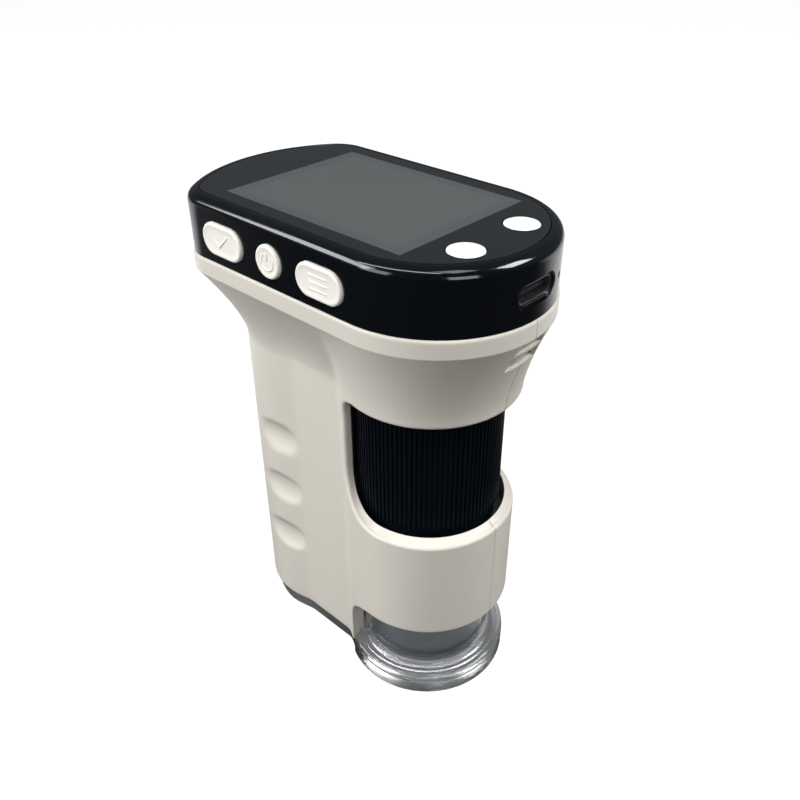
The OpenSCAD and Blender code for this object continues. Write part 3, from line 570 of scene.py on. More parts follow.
def post_loops(y, z, post_r, border, well):
    """Loops of points round a post, from the outside to the inside of the right half, or
    from the end of the pilot bore to the inside of the left half. Each loop point lies in
    the direction of a border cell: (y, z) + r (cos b, sin b). Between the border and a
    well, five more loops keep to the curved skin."""
    cell = outer[border[:, 1], border[:, 0], 1:] - np.array([y, z])
    far = np.hypot(*cell.T)
    b = cell / far[:, None]
    if well:
        steps = [(head_bore_r + (far - head_bore_r) * f, None) for f in (0.8, 0.6, 0.4, 0.2, 0.03)]
        steps += [(head_bore_r, None), (head_bore_r, -head_seat), (screw_bore_r, -head_seat),
                  (screw_bore_r, -0.02), (post_r, -0.02), (post_r, wall)]
    else:
        steps = [(pilot_r, -pilot_deep), (pilot_r, -0.02), (post_r, -0.02), (post_r, wall)]
    loops = []
    for r, x in steps:
        py, pz = y + r * b[:, 0], z + r * b[:, 1]
        if x is None or x > 0:
            x = skin_x(py, pz, x or 0.0)
        loops.append(np.stack([np.broadcast_to(x, py.shape), py, pz], 1))
    return loops


def skin_solid(outside, inside, open_cells, wells):
    """Closed solid between two grids: the outside, the inside turned round, a wall along
    every free edge, and the screw posts."""
    rows, columns = outside.shape[:2]
    count = rows * columns
    posted = np.zeros_like(open_cells)
    blocks = [post_block(*post) for post in posts]
    for c0, c1, k0, k1 in blocks:
        posted[k0:k1, c0:c1] = True
    edges = border_of(open_cells, rows, columns)
    faces = [grid_faces(rows, columns, skip=open_cells | posted if wells else open_cells),
             grid_faces(rows, columns, skip=open_cells | posted)[:, ::-1] + count,
             np.stack([edges[:, 1], edges[:, 0], edges[:, 0] + count, edges[:, 1] + count], 1)]
    points = np.concatenate([outside.reshape(-1, 3), inside.reshape(-1, 3)])
    for post, block in zip(posts, blocks):
        border = block_border(*block)
        ids = border[:, 1] * columns + border[:, 0]
        last = ids if wells else None
        for loop in post_loops(*post, border, wells):
            new = len(points) + np.arange(len(loop))
            if last is None:
                middle = len(points) + len(loop)
                faces.append(np.stack([new, np.roll(new, -1), np.full_like(new, middle),
                                       np.full_like(new, middle)], 1))
                loop = np.concatenate([loop, loop.mean(0, keepdims=True)])
            else:
                faces.append(ring_quads(last, new))
            points, last = np.concatenate([points, loop]), new
        faces.append(ring_quads(last, ids + count))
    used, faces = np.unique(np.concatenate(faces), return_inverse=True)
    faces = [list(dict.fromkeys(f)) for f in faces.reshape(-1, 4).tolist()]
    return points[used], faces


def tube_sector(r_out, r_in, z0, z1, a0, a1):
    """Closed sector of a tube about the optical axis, angles in degrees."""
    a = np.radians(np.linspace(a0, a1, 61))[:, None]
    r, z = np.array([(r_out, z0), (r_out, z1), (r_in, z1), (r_in, z0)]).T
    return polar(a, r, z).reshape(-1, 3), stack_faces(len(a), 4)


def join(parts):
    """One set of points and faces from several."""
    faces, start = [], 0
    for points, part in parts:
        faces += [[k + start for k in face] for face in part]
        start += len(points)
    return np.concatenate([points for points, part in parts]), faces


bore_r, socket_r, socket_top, guide_seat_r, deck_z = 15.2, 14.0, 26.0, 11.0, 70.0
edge_turn, socket_turn = [180.0 - math.degrees(math.asin((window_rear + 0.03) / r))
                          for r in (bore_r, socket_r)]
# rear wall of the wheel's chamber, the foot's socket in two parts, and the floor of the head
walls = [tube_sector(barrel_r - 0.1, bore_r + 0.02, socket_top, deck_z + 0.5, 90.0, edge_turn),
         tube_sector(barrel_r - 0.3, socket_r, shell_foot + 0.05, socket_top, 90.0, socket_turn),
         tube_sector(15.6, socket_r, arch_top + 0.03, socket_top, 90.0, 270.0),
         tube_sector(15.9, guide_seat_r, deck_z, deck_z + wall, 90.0, 270.0)]
points, faces = join([skin_solid(outer, inner, cell_open, wells=False)] + walls)
add_piece("left_shell_moulding", points, faces, shell_abs, "housing", "shell_white",
          "left_shell", sharp=38)
points, faces = join([skin_solid(outer, inner, cell_open, wells=True)] + walls)
add_piece("right_shell_moulding", points * np.array([-1.0, 1.0, 1.0]), [f[::-1] for f in faces],
          shell_abs, "housing", "shell_white", "right_shell", sharp=38)

# ---------------------------------------------------------------- bezel
# One gloss black ABS moulding: an upright wall round the head with a rounded top edge, a
# ledge for the display window, openings for the keys and the port, and a skirt that snaps
# into the lip of the half shells.
bezel_out, bezel_in, window_in = 0.25, 2.05, 2.55
bezel_foot, bezel_top, seat_z, roof_z = lip_top, 99.0, 97.8, 96.6
bezel_round, skirt_out, skirt_in, skirt_foot, skirt_top = 2.0, 1.9, 3.0, 85.2, 88.2
key_z, key_y, key_pitch = 92.45, 17.55, 12.2
key_long, key_high, key_gap = 10.6, 6.0, 0.15
port_z, port_wide, port_high = 92.53, 8.94, 3.26
pin_x, pin_z, pin_wide = 7.7, 92.23, 1.2
top_key_x, top_key_y, top_key_r = 7.15, -12.55, 3.075
view_wide, view_long, view_y = 32.8, 43.0, 14.0
# the openings' middles, (y or x, z), and half widths of the blocks of the wall they replace
middles = {"ok": (key_y + key_pitch, key_z), "power": (key_y, key_z),
           "menu": (key_y - key_pitch, key_z), "port": (0.0, port_z), "pin": (pin_x, pin_z)}
block_half = {"ok": 5.95, "power": 3.7, "menu": 5.95, "port": 6.1, "pin": 0.95}
side_keys = ("ok", "power", "menu")


def head_ring():
    """Points of the head's outline with their outward normals, from the middle of the rear
    through the left side and the front and back again: rear arc, corner arc, straight side,
    front half circle, then the same mirrored. Columns are set on the edges of the blocks
    that the openings replace. Returns points, normals and the column of each named edge."""
    meet = math.degrees(math.atan2(corner_y - rear_cy, corner_x))
    rear = np.radians(np.linspace(90.0, 180.0 - meet, 19)[:-1])
    corner = np.radians(np.linspace(180.0 - meet, 180.0, 17)[:-1])
    spans = {name: [middles[name][0] + k * block_half[name] for k in (-1, 1)]
             for name in middles}
    marks = [corner_y] + [y for name in side_keys for y in spans[name][::-1]]
    steps = [2, 26, 4, 16, 4, 26]
    side_y = np.concatenate([np.linspace(marks[k], marks[k + 1], steps[k] + 1)[:-1]
                             for k in range(6)] + [[marks[6]]])
    r = head_half - bezel_out
    port_a = math.degrees(math.asin(spans["port"][1] / r))
    pin_a = [math.degrees(math.asin(x / r)) for x in spans["pin"]]
    left = np.linspace(180.0, 270.0 - pin_a[1], 17)[:-1]
    mid = np.concatenate([np.linspace(270 - pin_a[1], 270 - pin_a[0], 7)[:-1],
                          np.linspace(270 - pin_a[0], 270 - port_a, 3)[:-1]])
    port = np.linspace(270 - port_a, 270 + port_a, 33)[:-1]
    beyond = 540.0 - np.concatenate([left, mid])[::-1]
    front = np.radians(np.concatenate([left, mid, port, [270 + port_a], beyond[:-1]]))
    plain_y = np.linspace(head_front_y, corner_y, 41)

    def arc(a, cx, cy, radius):
        n = np.stack([np.cos(a), np.sin(a)], 1)
        return np.array([cx, cy]) + n * radius, n

    def side(y, sign):
        return (np.stack([np.full_like(y, sign * head_half), y], 1),
                np.tile([sign, 0.0], (len(y), 1)))

    parts = [arc(rear, 0, rear_cy, rear_arc_r), arc(corner, -corner_x, corner_y, head_corner_r),
             side(side_y, -1.0), arc(front, 0, head_front_y, head_half), side(plain_y[:-1], 1.0),
             arc(math.pi - corner[::-1], corner_x, corner_y, head_corner_r),
             arc(math.pi - rear[::-1], 0, rear_cy, rear_arc_r)]
    points = np.concatenate([p for p, n in parts])
    normals = np.concatenate([n for p, n in parts])
    keep = np.concatenate([[True], np.hypot(*np.diff(points, axis=0).T) > 1e-6])
    points, normals = points[keep], normals[keep]

    def column(x, y):
        return int(np.argmin(np.hypot(points[:, 0] - x, points[:, 1] - y)))

    def on_front(x):
        scale = head_half / r
        return column(x * scale, head_front_y - math.sqrt(r * r - x * x) * scale)

    edges = {name: [on_front(x) for x in spans[name]] for name in ("port", "pin")}
    edges.update({name: [column(-head_half, y) for y in spans[name][::-1]] for name in side_keys})
    return points, normals, edges


def to_stadium(u, v, wide, high):
    """Nearest points, to (u, v), of an outline with two round ends, wide x high."""
    c = np.clip(u, -(wide - high) / 2, (wide - high) / 2)
    n = np.hypot(u - c, v)
    return c + (u - c) / n * high / 2, v / n * high / 2


ring, ring_n, ring_edges = head_ring()
turns = len(ring)
wall_z = np.linspace(88.75, 96.15, 13)
edge_t = np.radians(np.linspace(0.0, 90.0, 10))
profile = np.array(
    [(bezel_in, roof_z)] + [(bezel_in, z) for z in wall_z[::-1]]
    + [(bezel_in, skirt_top), (skirt_in, skirt_top), (skirt_in, skirt_foot),
       (skirt_out, skirt_foot), (skirt_out, bezel_foot),
       (bezel_out + 0.08, bezel_foot), (bezel_out, bezel_foot + 0.08)]
    + [(bezel_out, z) for z in wall_z]
    + [(bezel_out + bezel_round * (1 - math.cos(t)),
        bezel_top - bezel_round + bezel_round * math.sin(t)) for t in edge_t]
    + [(window_in - 0.12, bezel_top), (window_in, bezel_top - 0.12), (window_in, seat_z)])
inner_row, outer_row = len(wall_z), len(wall_z) + 8
bezel_points = np.zeros((len(profile), turns, 3))
bezel_points[..., :2] = ring[None] - ring_n[None] * profile[:, None, :1]
bezel_points[..., 2] = profile[:, 1:]
bezel_skip = np.zeros((len(profile) - 1, turns), bool)
bezel_parts, bezel_quads = [bezel_points.reshape(-1, 3)], []


def pierce(name, k0, k1, loops):
    """Cuts one opening: removes its block of cells in the outer and the inner wall and
    leads the border over the given loops, each a (wide, high, depth) outline. Without a
    depth the loop lies in the upright plane of the port's mouth."""
    c0, c1 = ring_edges[name]
    border = block_border(c0, c1, k0, k1)
    bezel_skip[outer_row + k0:outer_row + k1, c0:c1] = True
    bezel_skip[inner_row - k1:inner_row - k0, c0:c1] = True
    last = (outer_row + border[:, 1]) * turns + border[:, 0]
    inner_ids = (inner_row - border[:, 1]) * turns + border[:, 0]
    across = 0 if name in ("port", "pin") else 1
    mid_u, mid_v = middles[name]
    from_u, from_v = (bezel_parts[0][last][:, [across, 2]] - middles[name]).T
    for wide, high, depth in loops:
        u, v = to_stadium(from_u, from_v, wide, high)
        u, v = u + mid_u, v + mid_v
        if across:
            loop = np.stack([np.full_like(u, depth - head_half), u, v], 1)
        elif depth is None:
            loop = np.stack([u, np.full_like(u, head_front_y - head_half + 0.75), v], 1)
        else:
            loop = np.stack([u, head_front_y - np.sqrt((head_half - depth) ** 2 - u ** 2), v], 1)
        ids = sum(map(len, bezel_parts)) + np.arange(len(loop))
        bezel_parts.append(loop)
        bezel_quads.append(ring_quads(last, ids))
        last = ids
    bezel_quads.append(ring_quads(last, inner_ids))


for name, wide in zip(side_keys, (key_long, key_high, key_long)):
    pierce(name, 0, 12, [(wide + 2 * key_gap, key_high + 2 * key_gap, depth)
                         for depth in (bezel_out, bezel_in)])
pierce("port", 1, 11, [(port_wide + gap, port_high + gap, depth) for gap, depth in (
    (1.2, bezel_out), (1.2, None), (0.2, None), (0.2, bezel_in))])
pierce("pin", 4, 7, [(pin_wide, pin_wide, depth) for depth in (bezel_out, bezel_in)])


def circle_loop(cx, cy, r):
    """Forty-eight points of a circle in the plane."""
    return polar(np.linspace(0.0, 2 * np.pi, 48, endpoint=False), r, 0.0)[:, :2] + (cx, cy)


def plate(z_low, z_high, outline_low, outline_high, holes, ids_low=None, ids_high=None, start=0):
    """Flat plate with upright holes between two heights. Its outer loops are either new
    points or, where ids are given, points of a mesh that the plate closes."""
    points, faces, sides = [], [], []
    for z, loop, ids in ((z_low, outline_low, ids_low), (z_high, outline_high, ids_high)):
        loops = [loop] + holes
        flat_loops = [[Vector((p[0], p[1], 0.0)) for p in one] for one in loops]
        triangles = np.array(tessellate_polygon(flat_loops))
        new = loops if ids is None else holes
        numbers = start + sum(len(p) for p in points) + np.arange(sum(len(p) for p in new))
        table = numbers if ids is None else np.concatenate([ids, numbers])
        points.append(np.concatenate([np.column_stack([p, np.full(len(p), z)]) for p in new]))
        faces.extend(table[triangles].tolist())
        cuts = np.cumsum([0] + [len(one) for one in loops])
        sides.append([table[cuts[k]:cuts[k + 1]] for k in range(len(loops))])
    first = 0 if ids_low is None else 1
    for low, high in zip(sides[0][first:], sides[1][first:]):
        faces.extend(ring_quads(low, high).tolist())
    return np.concatenate(points), faces


view = np.array([(x * view_wide / 2, view_y + y * view_long / 2)
                 for x, y in ((-1, -1), (1, -1), (1, 1), (-1, 1))])
key_bores = [circle_loop(s * top_key_x, top_key_y, top_key_r + key_gap) for s in (-1, 1)]
top_row = len(profile) - 1
roof_points, roof_faces = plate(
    roof_z, seat_z, bezel_points[0, :, :2], bezel_points[top_row, :, :2], [view] + key_bores,
    ids_low=np.arange(turns), ids_high=top_row * turns + np.arange(turns),
    start=sum(map(len, bezel_parts)))
points = np.concatenate(bezel_parts + [roof_points])
quads = [grid_faces(len(profile), turns, around=True, skip=bezel_skip)] + bezel_quads
faces = np.concatenate(quads).tolist() + roof_faces
gloss_black = moulded("gloss_black_abs", (0.0025, 0.0035, 0.0050), 0.11, grain_mm=1.2,
                      grain=0.02, mottle=0.10, specular=0.48)
add_piece("bezel_moulding", points, faces, gloss_black, "housing", "bezel_black",
          "top_bezel", sharp=32, bevel=0.10)

# ---------------------------------------------------------------- display window
# Plate of hard-coated acrylic glued into the bezel, printed black behind except for the
# rectangle over the display, with two round openings for the keys on top.
lit_wide, lit_long = 30.6, 40.8
window_edge = ring - ring_n * (window_in + 0.12)
points, faces = plate(seat_z + 0.02, bezel_top, window_edge, window_edge, key_bores)
acrylic, tree, shader, place = start_material("window_acrylic")


def box_mask(tree, place, spans, soft=0.04):
    """1 inside a rectangle given as two (axis, half width, middle) in millimetres, with edges
    soft mm wide."""
    axes = add_node(tree, "SeparateXYZ", {0: place}).outputs
    parts = [map_range(tree, calc(tree, "ABSOLUTE", calc(tree, "SUBTRACT", axes[axis], mid * MM)),
                       ((half + soft) * MM, (half - soft) * MM)) for axis, half, mid in spans]
    return calc(tree, "MULTIPLY", *parts)


active = box_mask(tree, place, (("X", lit_wide / 2 + 0.1, 0.0),
                                ("Y", lit_long / 2 + 0.25, view_y)))
lit = box_mask(tree, place, (("X", lit_wide / 2 - 1.9, 0.0),
                             ("Y", lit_long / 2 - 2.2, view_y)), soft=0.1)
black_print = rgb_mix(tree, noise(tree, place, 45.0), (0.0100, 0.0125, 0.0145),
                      (0.0120, 0.0148, 0.0170))
framed = rgb_mix(tree, active, black_print, (0.068, 0.077, 0.079))
plug(tree, shader, {"Base Color": rgb_mix(tree, lit, framed, (0.077, 0.087, 0.087)),
                    "Roughness": 0.06,
                    "Normal": bump(tree, noise(tree, place, 14.0), 0.04, 0.2 * MM)})
add_piece("window_plate", points, faces, acrylic, "housing", "window_acrylic",
          "display_window", sharp=32, bevel=0.12)

# ---------------------------------------------------------------- keys
# Five caps of white ABS. The side keys stand 0.6 mm out of the bezel, with a collar behind
# its wall; the two keys on top are flush with the display window.
key_abs = moulded("key_abs", (0.830, 0.800, 0.740), 0.38, grain_mm=0.25, grain=0.10,
                  mottle=0.010)
top_key_abs = moulded("top_key_abs", (0.97, 0.97, 0.96), 0.30, grain_mm=0.25, grain=0.06,
                      mottle=0.006)
face_x = -21.35


def cap(mid_y, long):
    """Side key: a stadium outline led along a profile of (inset, x) from the collar over
    the rounded edge to a slightly hollowed face."""
    a = np.radians(np.linspace(0.0, 360.0, 97)[:-1])
    c = np.where(np.cos(a) >= 0, 1.0, -1.0) * (long - key_high) / 2
    n = np.stack([np.cos(a), np.sin(a)], 1)
    behind = bezel_in - head_half
    t = np.radians(np.linspace(0.0, 90.0, 7))
    path = [(0.0, behind + 0.8), (-0.45, behind + 0.8), (-0.45, behind + 0.02),
            (0.0, behind + 0.02)]
    path += [(0.45 * (1 - math.cos(k)), face_x + 0.45 * (1 - math.sin(k))) for k in t]
    path += [(0.62, face_x + 0.02), (0.85, face_x + 0.09), (1.1, face_x + 0.13),
             (1.6, face_x + 0.14), (2.8, face_x + 0.14)]
    points = np.stack([np.stack([np.full_like(a, x), mid_y + c + n[:, 0] * (key_high / 2 - e),
                                 key_z + n[:, 1] * (key_high / 2 - e)], 1) for e, x in path])
    return points.reshape(-1, 3), stack_faces(len(path), len(a))


for name, long in zip(side_keys, (key_long, key_high + 1e-3, key_long)):
    points, faces = cap(middles[name][0], long)
    add_piece(name + "_cap", points, faces, key_abs, name + "_key", "key_white", name + "_key",
              sharp=40)


mark_wide, mark_proud = 0.42, 0.14


def mark(strokes, mid_y):
    """Raised mark on a side key: along each polyline of (y, z) points runs a ridge with a
    half-elliptic section, which narrows to nothing at both ends."""
    parts = []
    for stroke in strokes:
        path = np.asarray(stroke, float)
        run = length_along(*path.T)
        t = np.linspace(0.0, run[-1], max(int(run[-1] / 0.12), 6))
        line = np.stack([np.interp(t, run, path[:, k]) for k in (0, 1)], 1)
        along = np.gradient(line, axis=0)
        along /= np.linalg.norm(along, axis=1)[:, None]
        end = np.minimum(t, run[-1] - t)
        girth = np.sqrt(np.clip(1 - (1 - np.clip(end / (mark_wide / 2), 0, 1)) ** 2, 0.002, 1))
        a = np.radians(np.linspace(0.0, 360.0, 17)[:-1])
        side = np.cos(a)[None, :] * girth[:, None] * mark_wide / 2
        rise = np.where(np.sin(a) > 0, np.sin(a), 0.3 * np.sin(a))[None, :] * girth[:, None]
        y = mid_y - (line[:, :1] - along[:, 1:] * side)
        z = key_z + line[:, 1:] + along[:, :1] * side
        x = face_x + 0.142 - mark_proud * np.broadcast_to(rise, side.shape)
        parts.append((np.stack([x, y, z], -1).reshape(-1, 3), stack_faces(len(t), len(a))))
    return join(parts)


turn = np.radians(np.linspace(125.0, 415.0, 41))
marks = {
    "ok": [[(-1.9, 0.1), (-0.7, -1.1), (1.9, 1.4)]],
    "power": [np.stack([1.45 * np.cos(turn), 1.45 * np.sin(turn)], 1), [(0.0, 0.2), (0.0, 1.75)]],
    "menu": [[(-2.1, k), (2.1, k)] for k in (1.2, 0.0, -1.2)]}
for name in side_keys:
    points, faces = mark(marks[name], middles[name][0])
    add_piece(name + "_mark", points, faces, key_abs, name + "_key", "key_white")

# the top keys' collars lie under the window; their stems reach down to the switches
stem_r, collar_r, collar_low, collar_top = 1.5, 3.5, 95.8, 96.58
for name, sign in (("left", -1), ("right", 1)):
    node = "top_key_" + name
    stem_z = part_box(node)[0][2] / MM
    path = np.array([(0.0, stem_z), (stem_r, stem_z), (stem_r, collar_low),
                     (collar_r, collar_low), (collar_r, collar_top), (top_key_r, collar_top),
                     (top_key_r, 98.72), (top_key_r - 0.08, 98.92), (top_key_r - 0.28, 99.0),
                     (stem_r, 98.97), (0.0, 98.95)])
    a = np.radians(np.arange(0.0, 360.0, 5.0))
    points = polar(a, path[:, :1], path[:, 1:]) + (sign * top_key_x, top_key_y, 0.0)
    faces = grid_faces(len(path), len(a), around=True)
    add_piece("top_cap_" + name, points.reshape(-1, 3), faces, top_key_abs, node,
              "top_key_white", node, sharp=40)

# ---------------------------------------------------------------- focusing wheel
# Black ABS ring, ribbed for the fingers, with a plain lower edge. It turns on the guide tube
# and its grooves drive the lens carriage.
wheel_low, wheel_top, shoulder_z = 38.0, 69.4, 42.4
wheel_r, skirt_r, wheel_bore, rib_deep, rib_count = 14.1, 13.3, 11.15, 0.35, 96
skirt_flare, shoulder_high, wheel_edge = 0.05, 0.9, 0.3


def wheel_surface():
    """Outer radius as a function of angle and height: a slightly flared skirt, a shoulder
    with an elliptic round, and ribs that are flat on top with steep sides and fade out over
    the shoulder. Both ends are drawn in over wheel_edge."""
    a = np.linspace(0.0, 2 * np.pi, rib_count * 12, endpoint=False)
    skirt_top = shoulder_z - 0.2
    z = np.concatenate([[wheel_low, wheel_low + 0.15, wheel_low + wheel_edge],
                        np.linspace(39.5, skirt_top, 4),
                        shoulder_z + shoulder_high * (1 - np.cos(
                            np.radians(np.linspace(0, 90, 7)))),
                        np.linspace(44.0, 68.6, 8), [68.9, 69.15, 69.3, wheel_top]])
    phase = (a * rib_count / (2 * np.pi)) % 1.0
    groove = np.clip((np.abs(phase - 0.5) - 0.16) / 0.10, 0.0, 1.0)
    groove = 1.0 - groove * groove * (3 - 2 * groove)
    plain = np.interp(z, [wheel_low, skirt_top], [skirt_r, skirt_r + skirt_flare])
    t = np.clip((z - shoulder_z) / shoulder_high, 0.0, 1.0)
    rounded = skirt_r + skirt_flare + (wheel_r - skirt_r - skirt_flare) * np.sqrt(
        np.maximum(1 - (1 - t) ** 2, 0.0))
    plain = np.where(z > shoulder_z - 0.1, rounded, plain)
    plain = plain - 0.3 * np.clip((z - wheel_top + wheel_edge) / wheel_edge, 0, 1) ** 2
    plain = plain - 0.12 * np.clip((wheel_low + wheel_edge - z) / wheel_edge, 0, 1) ** 2
    fade = np.clip((z - shoulder_z - 0.1) / 0.5, 0.0, 1.0)
    r = plain[:, None] - rib_deep * fade[:, None] * groove[None, :]
    return a, z, r


a, z, r = wheel_surface()
outer_side = polar(a, r, z[:, None])
bore = polar(a, wheel_bore, np.array([[wheel_top], [wheel_low]]))
points = np.concatenate([outer_side, bore, outer_side[:1]])
faces = grid_faces(len(points), len(a), around=True)
wheel_abs = moulded("wheel_black_abs", (0.0035, 0.0055, 0.0090), 0.40, grain_mm=0.3, grain=0.10,
                    mottle=0.08, specular=0.05)
add_piece("wheel_ribbed", points.reshape(-1, 3), faces, wheel_abs, "focus_wheel", "wheel_black",
          "focus_wheel", sharp=50)

# ---------------------------------------------------------------- clear foot and light hood
# The foot is one injection moulding of clear polished acrylic: a flange round the specimen,
# a tube that snaps into the barrel and a sole under the grip. Inside it stands the matt
# hood that keeps the lamps' light on the specimen; its dark grey is painted shade, standing
# for the shade seen through the clear tube.
foot_out, foot_in, specimen_r, foot_high, rest_z = 13.9, 12.6, 12.0, 34.0, 0.10
flange_high, sole_high, sole_inset, sole_back, flange_rear = 5.0, 3.0, 0.35, 1.3, 7.85
bead_z, bead_proud, foot_edge, sole_edge, dish, blend = 27.0, 0.5, 1.1, 0.3, 0.30, 0.65


def step_up(t):
    """Smooth step, 3 t^2 - 2 t^3 between 0 and 1."""
    t = np.clip(t, 0.0, 1.0)
    return t * t * (3 - 2 * t)


def sole_reach(a):
    """Distance from the optical axis to the sole's edge at angle a: the body's outline moved
    in, and behind the grip's middle a circle set forward by sole_back."""
    turn = np.radians(np.linspace(-90.0, 270.0, 2881))
    r = body_reach(turn, sole_inset)
    x, y = r * np.cos(turn), hub_y + r * np.sin(turn)
    middle = grip_y - sole_back
    k = np.where(y > middle, np.minimum(1.0, (grip_r - sole_inset) / np.hypot(x, y - middle)), 1.0)
    x, y = x * k, middle + (y - middle) * k
    around = np.unwrap(np.arctan2(y, x))
    return np.interp(a, around, np.hypot(x, y), period=2 * np.pi)


def foot_surface():
    """One closed surface led round the optical axis. At angle a its section (r, z) runs from
    the specimen opening out along the underside to the edge R(a), over a rounded edge, in
    over the dished flange and up a fillet to the tube, over the tube's top and down inside
    it. Within blend mm in front of flange_rear the flange gives way to the lower sole."""
    a = np.radians(np.linspace(0.0, 360.0, 541)[:-1])
    rear = step_up((barrel_r * np.sin(a) - flange_rear + blend) / blend)
    reach = (1 - rear) * barrel_r + rear * sole_reach(a)
    edge = foot_edge - (foot_edge - sole_edge) * rear

    def high(r):
        return flange_high - (flange_high - sole_high) * step_up(
            (r * np.sin(a) - flange_rear + blend) / blend)

    top = high(reach)
    fillet = 0.03 + 1.5 * (1 - step_up((foot_out * np.sin(a) - 2.5) / 3.5))
    path = [(specimen_r, rest_z + 0.2), (specimen_r + 0.2, rest_z)]
    path += [(specimen_r + 0.2 + (reach - 0.5 - specimen_r) * f, rest_z)
             for f in np.linspace(0.12, 1.0, 8)]
    path += [(reach - sole_edge + sole_edge * math.sin(t),
              rest_z + sole_edge - sole_edge * math.cos(t))
             for t in np.radians([22.5, 45, 67.5, 90])]
    path += [(reach - edge + edge * math.cos(t), top - edge + edge * math.sin(t))
             for t in np.radians(np.linspace(0.0, 90.0, 9))]
    base = foot_out + fillet
    for f in np.linspace(0.0, 1.0, 14)[1:-1]:
        r = reach - edge + (base - reach + edge) * f
        path.append((r, high(r) - dish * math.sin(math.pi * f) * (1 - rear)))
    low = high(base)
    path += [(base - fillet * math.sin(t), low + fillet - fillet * math.cos(t))
             for t in np.radians(np.linspace(0.0, 90.0, 10))]
    path += [(foot_out, 8.0 + 2.6 * k) for k in range(8)]
    path += [(foot_out, bead_z - 0.6), (foot_out + bead_proud, bead_z - 0.4),
             (foot_out + bead_proud, bead_z + 0.4), (foot_out, bead_z + 0.6),
             (foot_out, foot_high - 0.15), (foot_out - 0.15, foot_high),
             (foot_in + 0.15, foot_high), (foot_in, foot_high - 0.15)]
    path += [(foot_in, z) for z in np.linspace(31.0, sole_high + 0.2, 12)]
    path += [(foot_in - 0.06, sole_high + 0.06), (foot_in - 0.2, sole_high),
             (specimen_r + 0.15, sole_high), (specimen_r, sole_high - 0.15)]
    r, z = [np.stack([np.broadcast_to(p[k], a.shape) for p in path], 1) for k in (0, 1)]
    return polar(a[:, None], r, z)


surface = foot_surface()
turns, steps = surface.shape[:2]
i, j = np.meshgrid(np.arange(turns), np.arange(steps), indexing="ij")
near, far = (i + 1) % turns, (j + 1) % steps
faces = np.stack([i * steps + j, near * steps + j, near * steps + far, i * steps + far], -1)
clear, tree, shader, place = start_material("clear_acrylic")
wave = noise(tree, place, 90.0)
haze = map_range(tree, wave, (0.0, 1.0), (0.015, 0.06))
# the underside is matt
height = add_node(tree, "SeparateXYZ", {0: place}).outputs["Z"]
under = map_range(tree, height, (0.45 * MM, 0.15 * MM))
finish = add_node(tree, "Mix", {0: under, 2: haze, 3: 0.40}).outputs[0]
plug(tree, shader, {"Base Color": (0.88, 0.90, 0.92, 1.0), "Transmission Weight": 1.0,
                    "IOR": 1.49, "Roughness": finish,
                    "Normal": bump(tree, wave, 0.25, 0.5 * MM)})
add_piece("foot_moulding", surface.reshape(-1, 3), faces.reshape(-1, 4), clear, "housing",
          "foot_clear", "clear_foot", sharp=35)

# painted shade: the hood's dark grey stands for the shade seen through the clear foot
hood_painted_shade = moulded("hood_painted_shade", (0.105, 0.115, 0.122), 0.50, grain_mm=0.4, grain=0.15,
                     mottle=0.08, specular=0.3)


# ---------------------------------------------------------------- parts inside the case
# Electronics, battery and optics keep the shape of the construction; here each gets its
# material: solder mask, pressed and plated steel, foil pouch, foam, blackened plastic, glass.
def dress(material, *nodes_named):
    """Puts a material in every slot of the named nodes' own meshes."""
    for node in nodes_named:
        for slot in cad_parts[node].material_slots:
            slot.material = material


def metal(name, colour, roughness, marks, dent=0.03):
    """Sheet or plated metal: fine marks, stretched by the given factors along X, Y and Z,
    vary the gloss and the surface."""
    material, tree, shader, place = start_material(name)
    fine = noise(tree, calc(tree, "MULTIPLY", place, marks, kind="VectorMath"), 1.0, 5.0)
    gloss = (roughness - 0.08, roughness + 0.08)
    plug(tree, shader, {"Base Color": rgb_mix(tree, fine, tuple(0.92 * c for c in colour), colour),
                        "Roughness": map_range(tree, fine, (0.0, 1.0), gloss), "Metallic": 1.0,
                        "Normal": bump(tree, fine, 0.4, dent * MM)})
    return material


def circuit_board():
    """Green solder mask over a rectangular net of tracks, with tinned round pads."""
    material, tree, shader, place = start_material("solder_mask")
    net = add_node(tree, "TexBrick", {
        "Vector": place, "Scale": 420.0, "Mortar Size": 0.06, "Color1": (0.010, 0.090, 0.040, 1.0),
        "Color2": (0.014, 0.105, 0.048, 1.0), "Mortar": (0.030, 0.180, 0.080, 1.0)}).outputs
    dots = add_node(tree, "TexVoronoi", {"Vector": place, "Scale": 260.0})
    pad = map_range(tree, dots.outputs["Distance"], (0.17, 0.13))
    plug(tree, shader, {"Base Color": rgb_mix(tree, pad, net["Color"], (0.62, 0.60, 0.55)),
                        "Metallic": pad, "Roughness": 0.32,
                        "Normal": bump(tree, net["Fac"], 0.3, 0.03 * MM)})
    return material


def striped(name, pitch_mm, first, second, roughness):
    """Two colours in bands across X, each pitch_mm wide, such as the tracks of a flat cable.
    Both together take pi / 10 over the texture's scale."""
    material, tree, shader, place = start_material(name)
    bands = add_node(tree, "TexWave", {"Vector": place, "Scale": math.pi / (20 * pitch_mm * MM)},
                     wave_type="BANDS", bands_direction="X")
    plug(tree, shader, {"Base Color": rgb_mix(tree, bands.outputs["Fac"], first, second),
                        "Roughness": roughness})
    return material


def optical_glass():
    """Coated lens glass, with a trace of polishing haze."""
    material, tree, shader, place = start_material("lens_glass")
    haze = map_range(tree, noise(tree, place, 700.0), (0.0, 1.0), (0.0, 0.02))
    plug(tree, shader, {"Base Color": (0.94, 0.98, 0.99, 1.0), "Transmission Weight": 1.0,
                        "IOR": 1.52, "Thin Film Thickness": 320.0, "Roughness": haze})
    return material


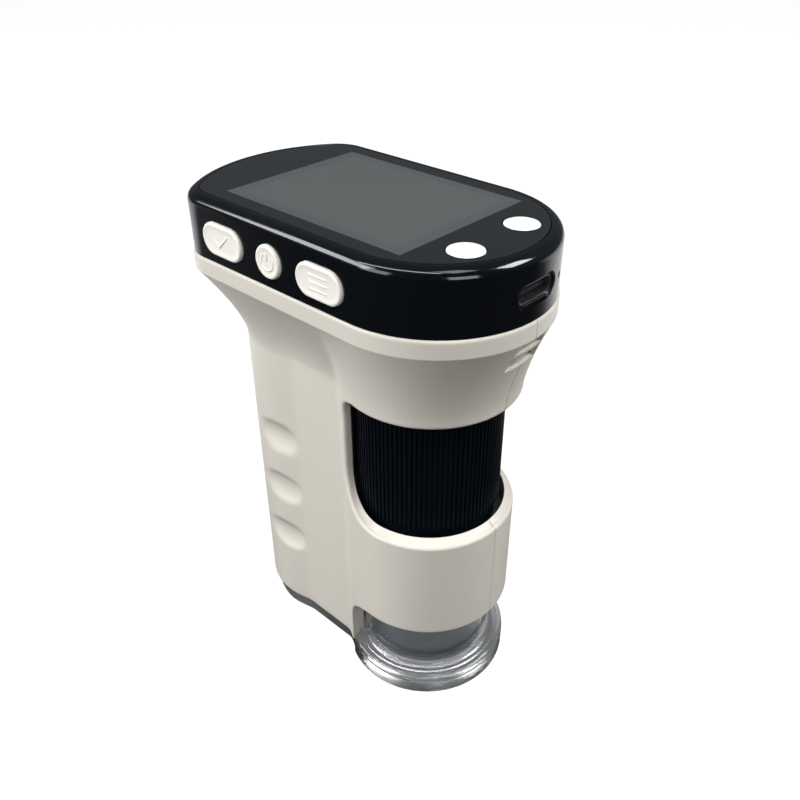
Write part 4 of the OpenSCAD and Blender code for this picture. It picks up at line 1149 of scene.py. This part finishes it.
def port_metal():
    """Plated steel, except for the black tongue in the middle of the port."""
    material = metal("port_steel", (0.62, 0.62, 0.64), 0.30, (900.0, 200.0, 900.0))
    tree = material.node_tree
    shader = tree.nodes["Principled BSDF"]
    place = add_node(tree, "TexCoord", {}).outputs["Object"]
    tongue = box_mask(tree, place, (("X", 3.37, 0.0), ("Z", 0.37, port_z)), soft=0.01)
    plated = shader.inputs["Base Color"].links[0].from_socket
    plug(tree, shader, {"Base Color": rgb_mix(tree, tongue, plated, (0.008, 0.008, 0.009)),
                        "Metallic": calc(tree, "SUBTRACT", 1.0, tongue)})
    return material


dress(hood_painted_shade, "light_hood")
dress(port_metal(), "usb_port")
dress(circuit_board(), "main_board", "sensor_board", "led_board")
# name, colour, roughness, grain in mm, its strength, mottle, specular, pieces
for *look, pieces in (
        ("chip_resin", (0.012, 0.012, 0.013), 0.55, 0.12, 0.20, 0.10, 0.30,
         ("board_chips", "image_sensor")),
        ("switch_body", (0.020, 0.020, 0.022), 0.45, 0.20, 0.10, 0.10, 0.50,
         ("side_switches", "top_switches")),
        ("polariser", (0.070, 0.080, 0.085), 0.28, 0.10, 0.05, 0.04, 0.50, ("lcd_panel",)),
        ("foam_black", (0.015, 0.015, 0.016), 0.90, 0.70, 0.90, 0.30, 0.10,
         ("lcd_gasket", "battery_pad")),
        ("tray_abs", (0.560, 0.560, 0.530), 0.50, 0.30, 0.15, 0.03, 0.50, ("lcd_tray",)),
        ("optics_black", (0.008, 0.008, 0.009), 0.62, 0.25, 0.30, 0.15, 0.25,
         ("guide_tube", "lens_carriage", "lens_spacer", "lens_retainer")),
        ("felt", (0.030, 0.030, 0.032), 0.95, 0.50, 1.00, 0.40, 0.05, ("friction_ring",)),
        ("phosphor", (0.80, 0.66, 0.20), 0.40, 0.20, 0.10, 0.05, 0.50, ("leds",))):
    dress(moulded(*look), *pieces)
dress(metal("screw_steel", (0.52, 0.53, 0.55), 0.26, (1500.0, 1500.0, 1500.0)), "board_screws",
      "sensor_screws", "case_screws")
dress(metal("frame_steel", (0.60, 0.61, 0.62), 0.32, (1800.0, 90.0, 1800.0)), "lcd_frame")
dress(metal("pouch_foil", (0.60, 0.62, 0.66), 0.30, (160.0, 160.0, 90.0), dent=0.25),
      "battery_cell")
dress(striped("battery_leads", 5.2, (0.40, 0.020, 0.015), (0.012, 0.012, 0.012), 0.45),
      "battery_wires")
dress(striped("flat_cable", 0.5, (0.46, 0.20, 0.035), (0.33, 0.115, 0.020), 0.30), "sensor_flex")
dress(optical_glass(), "front_lens", "rear_lens")
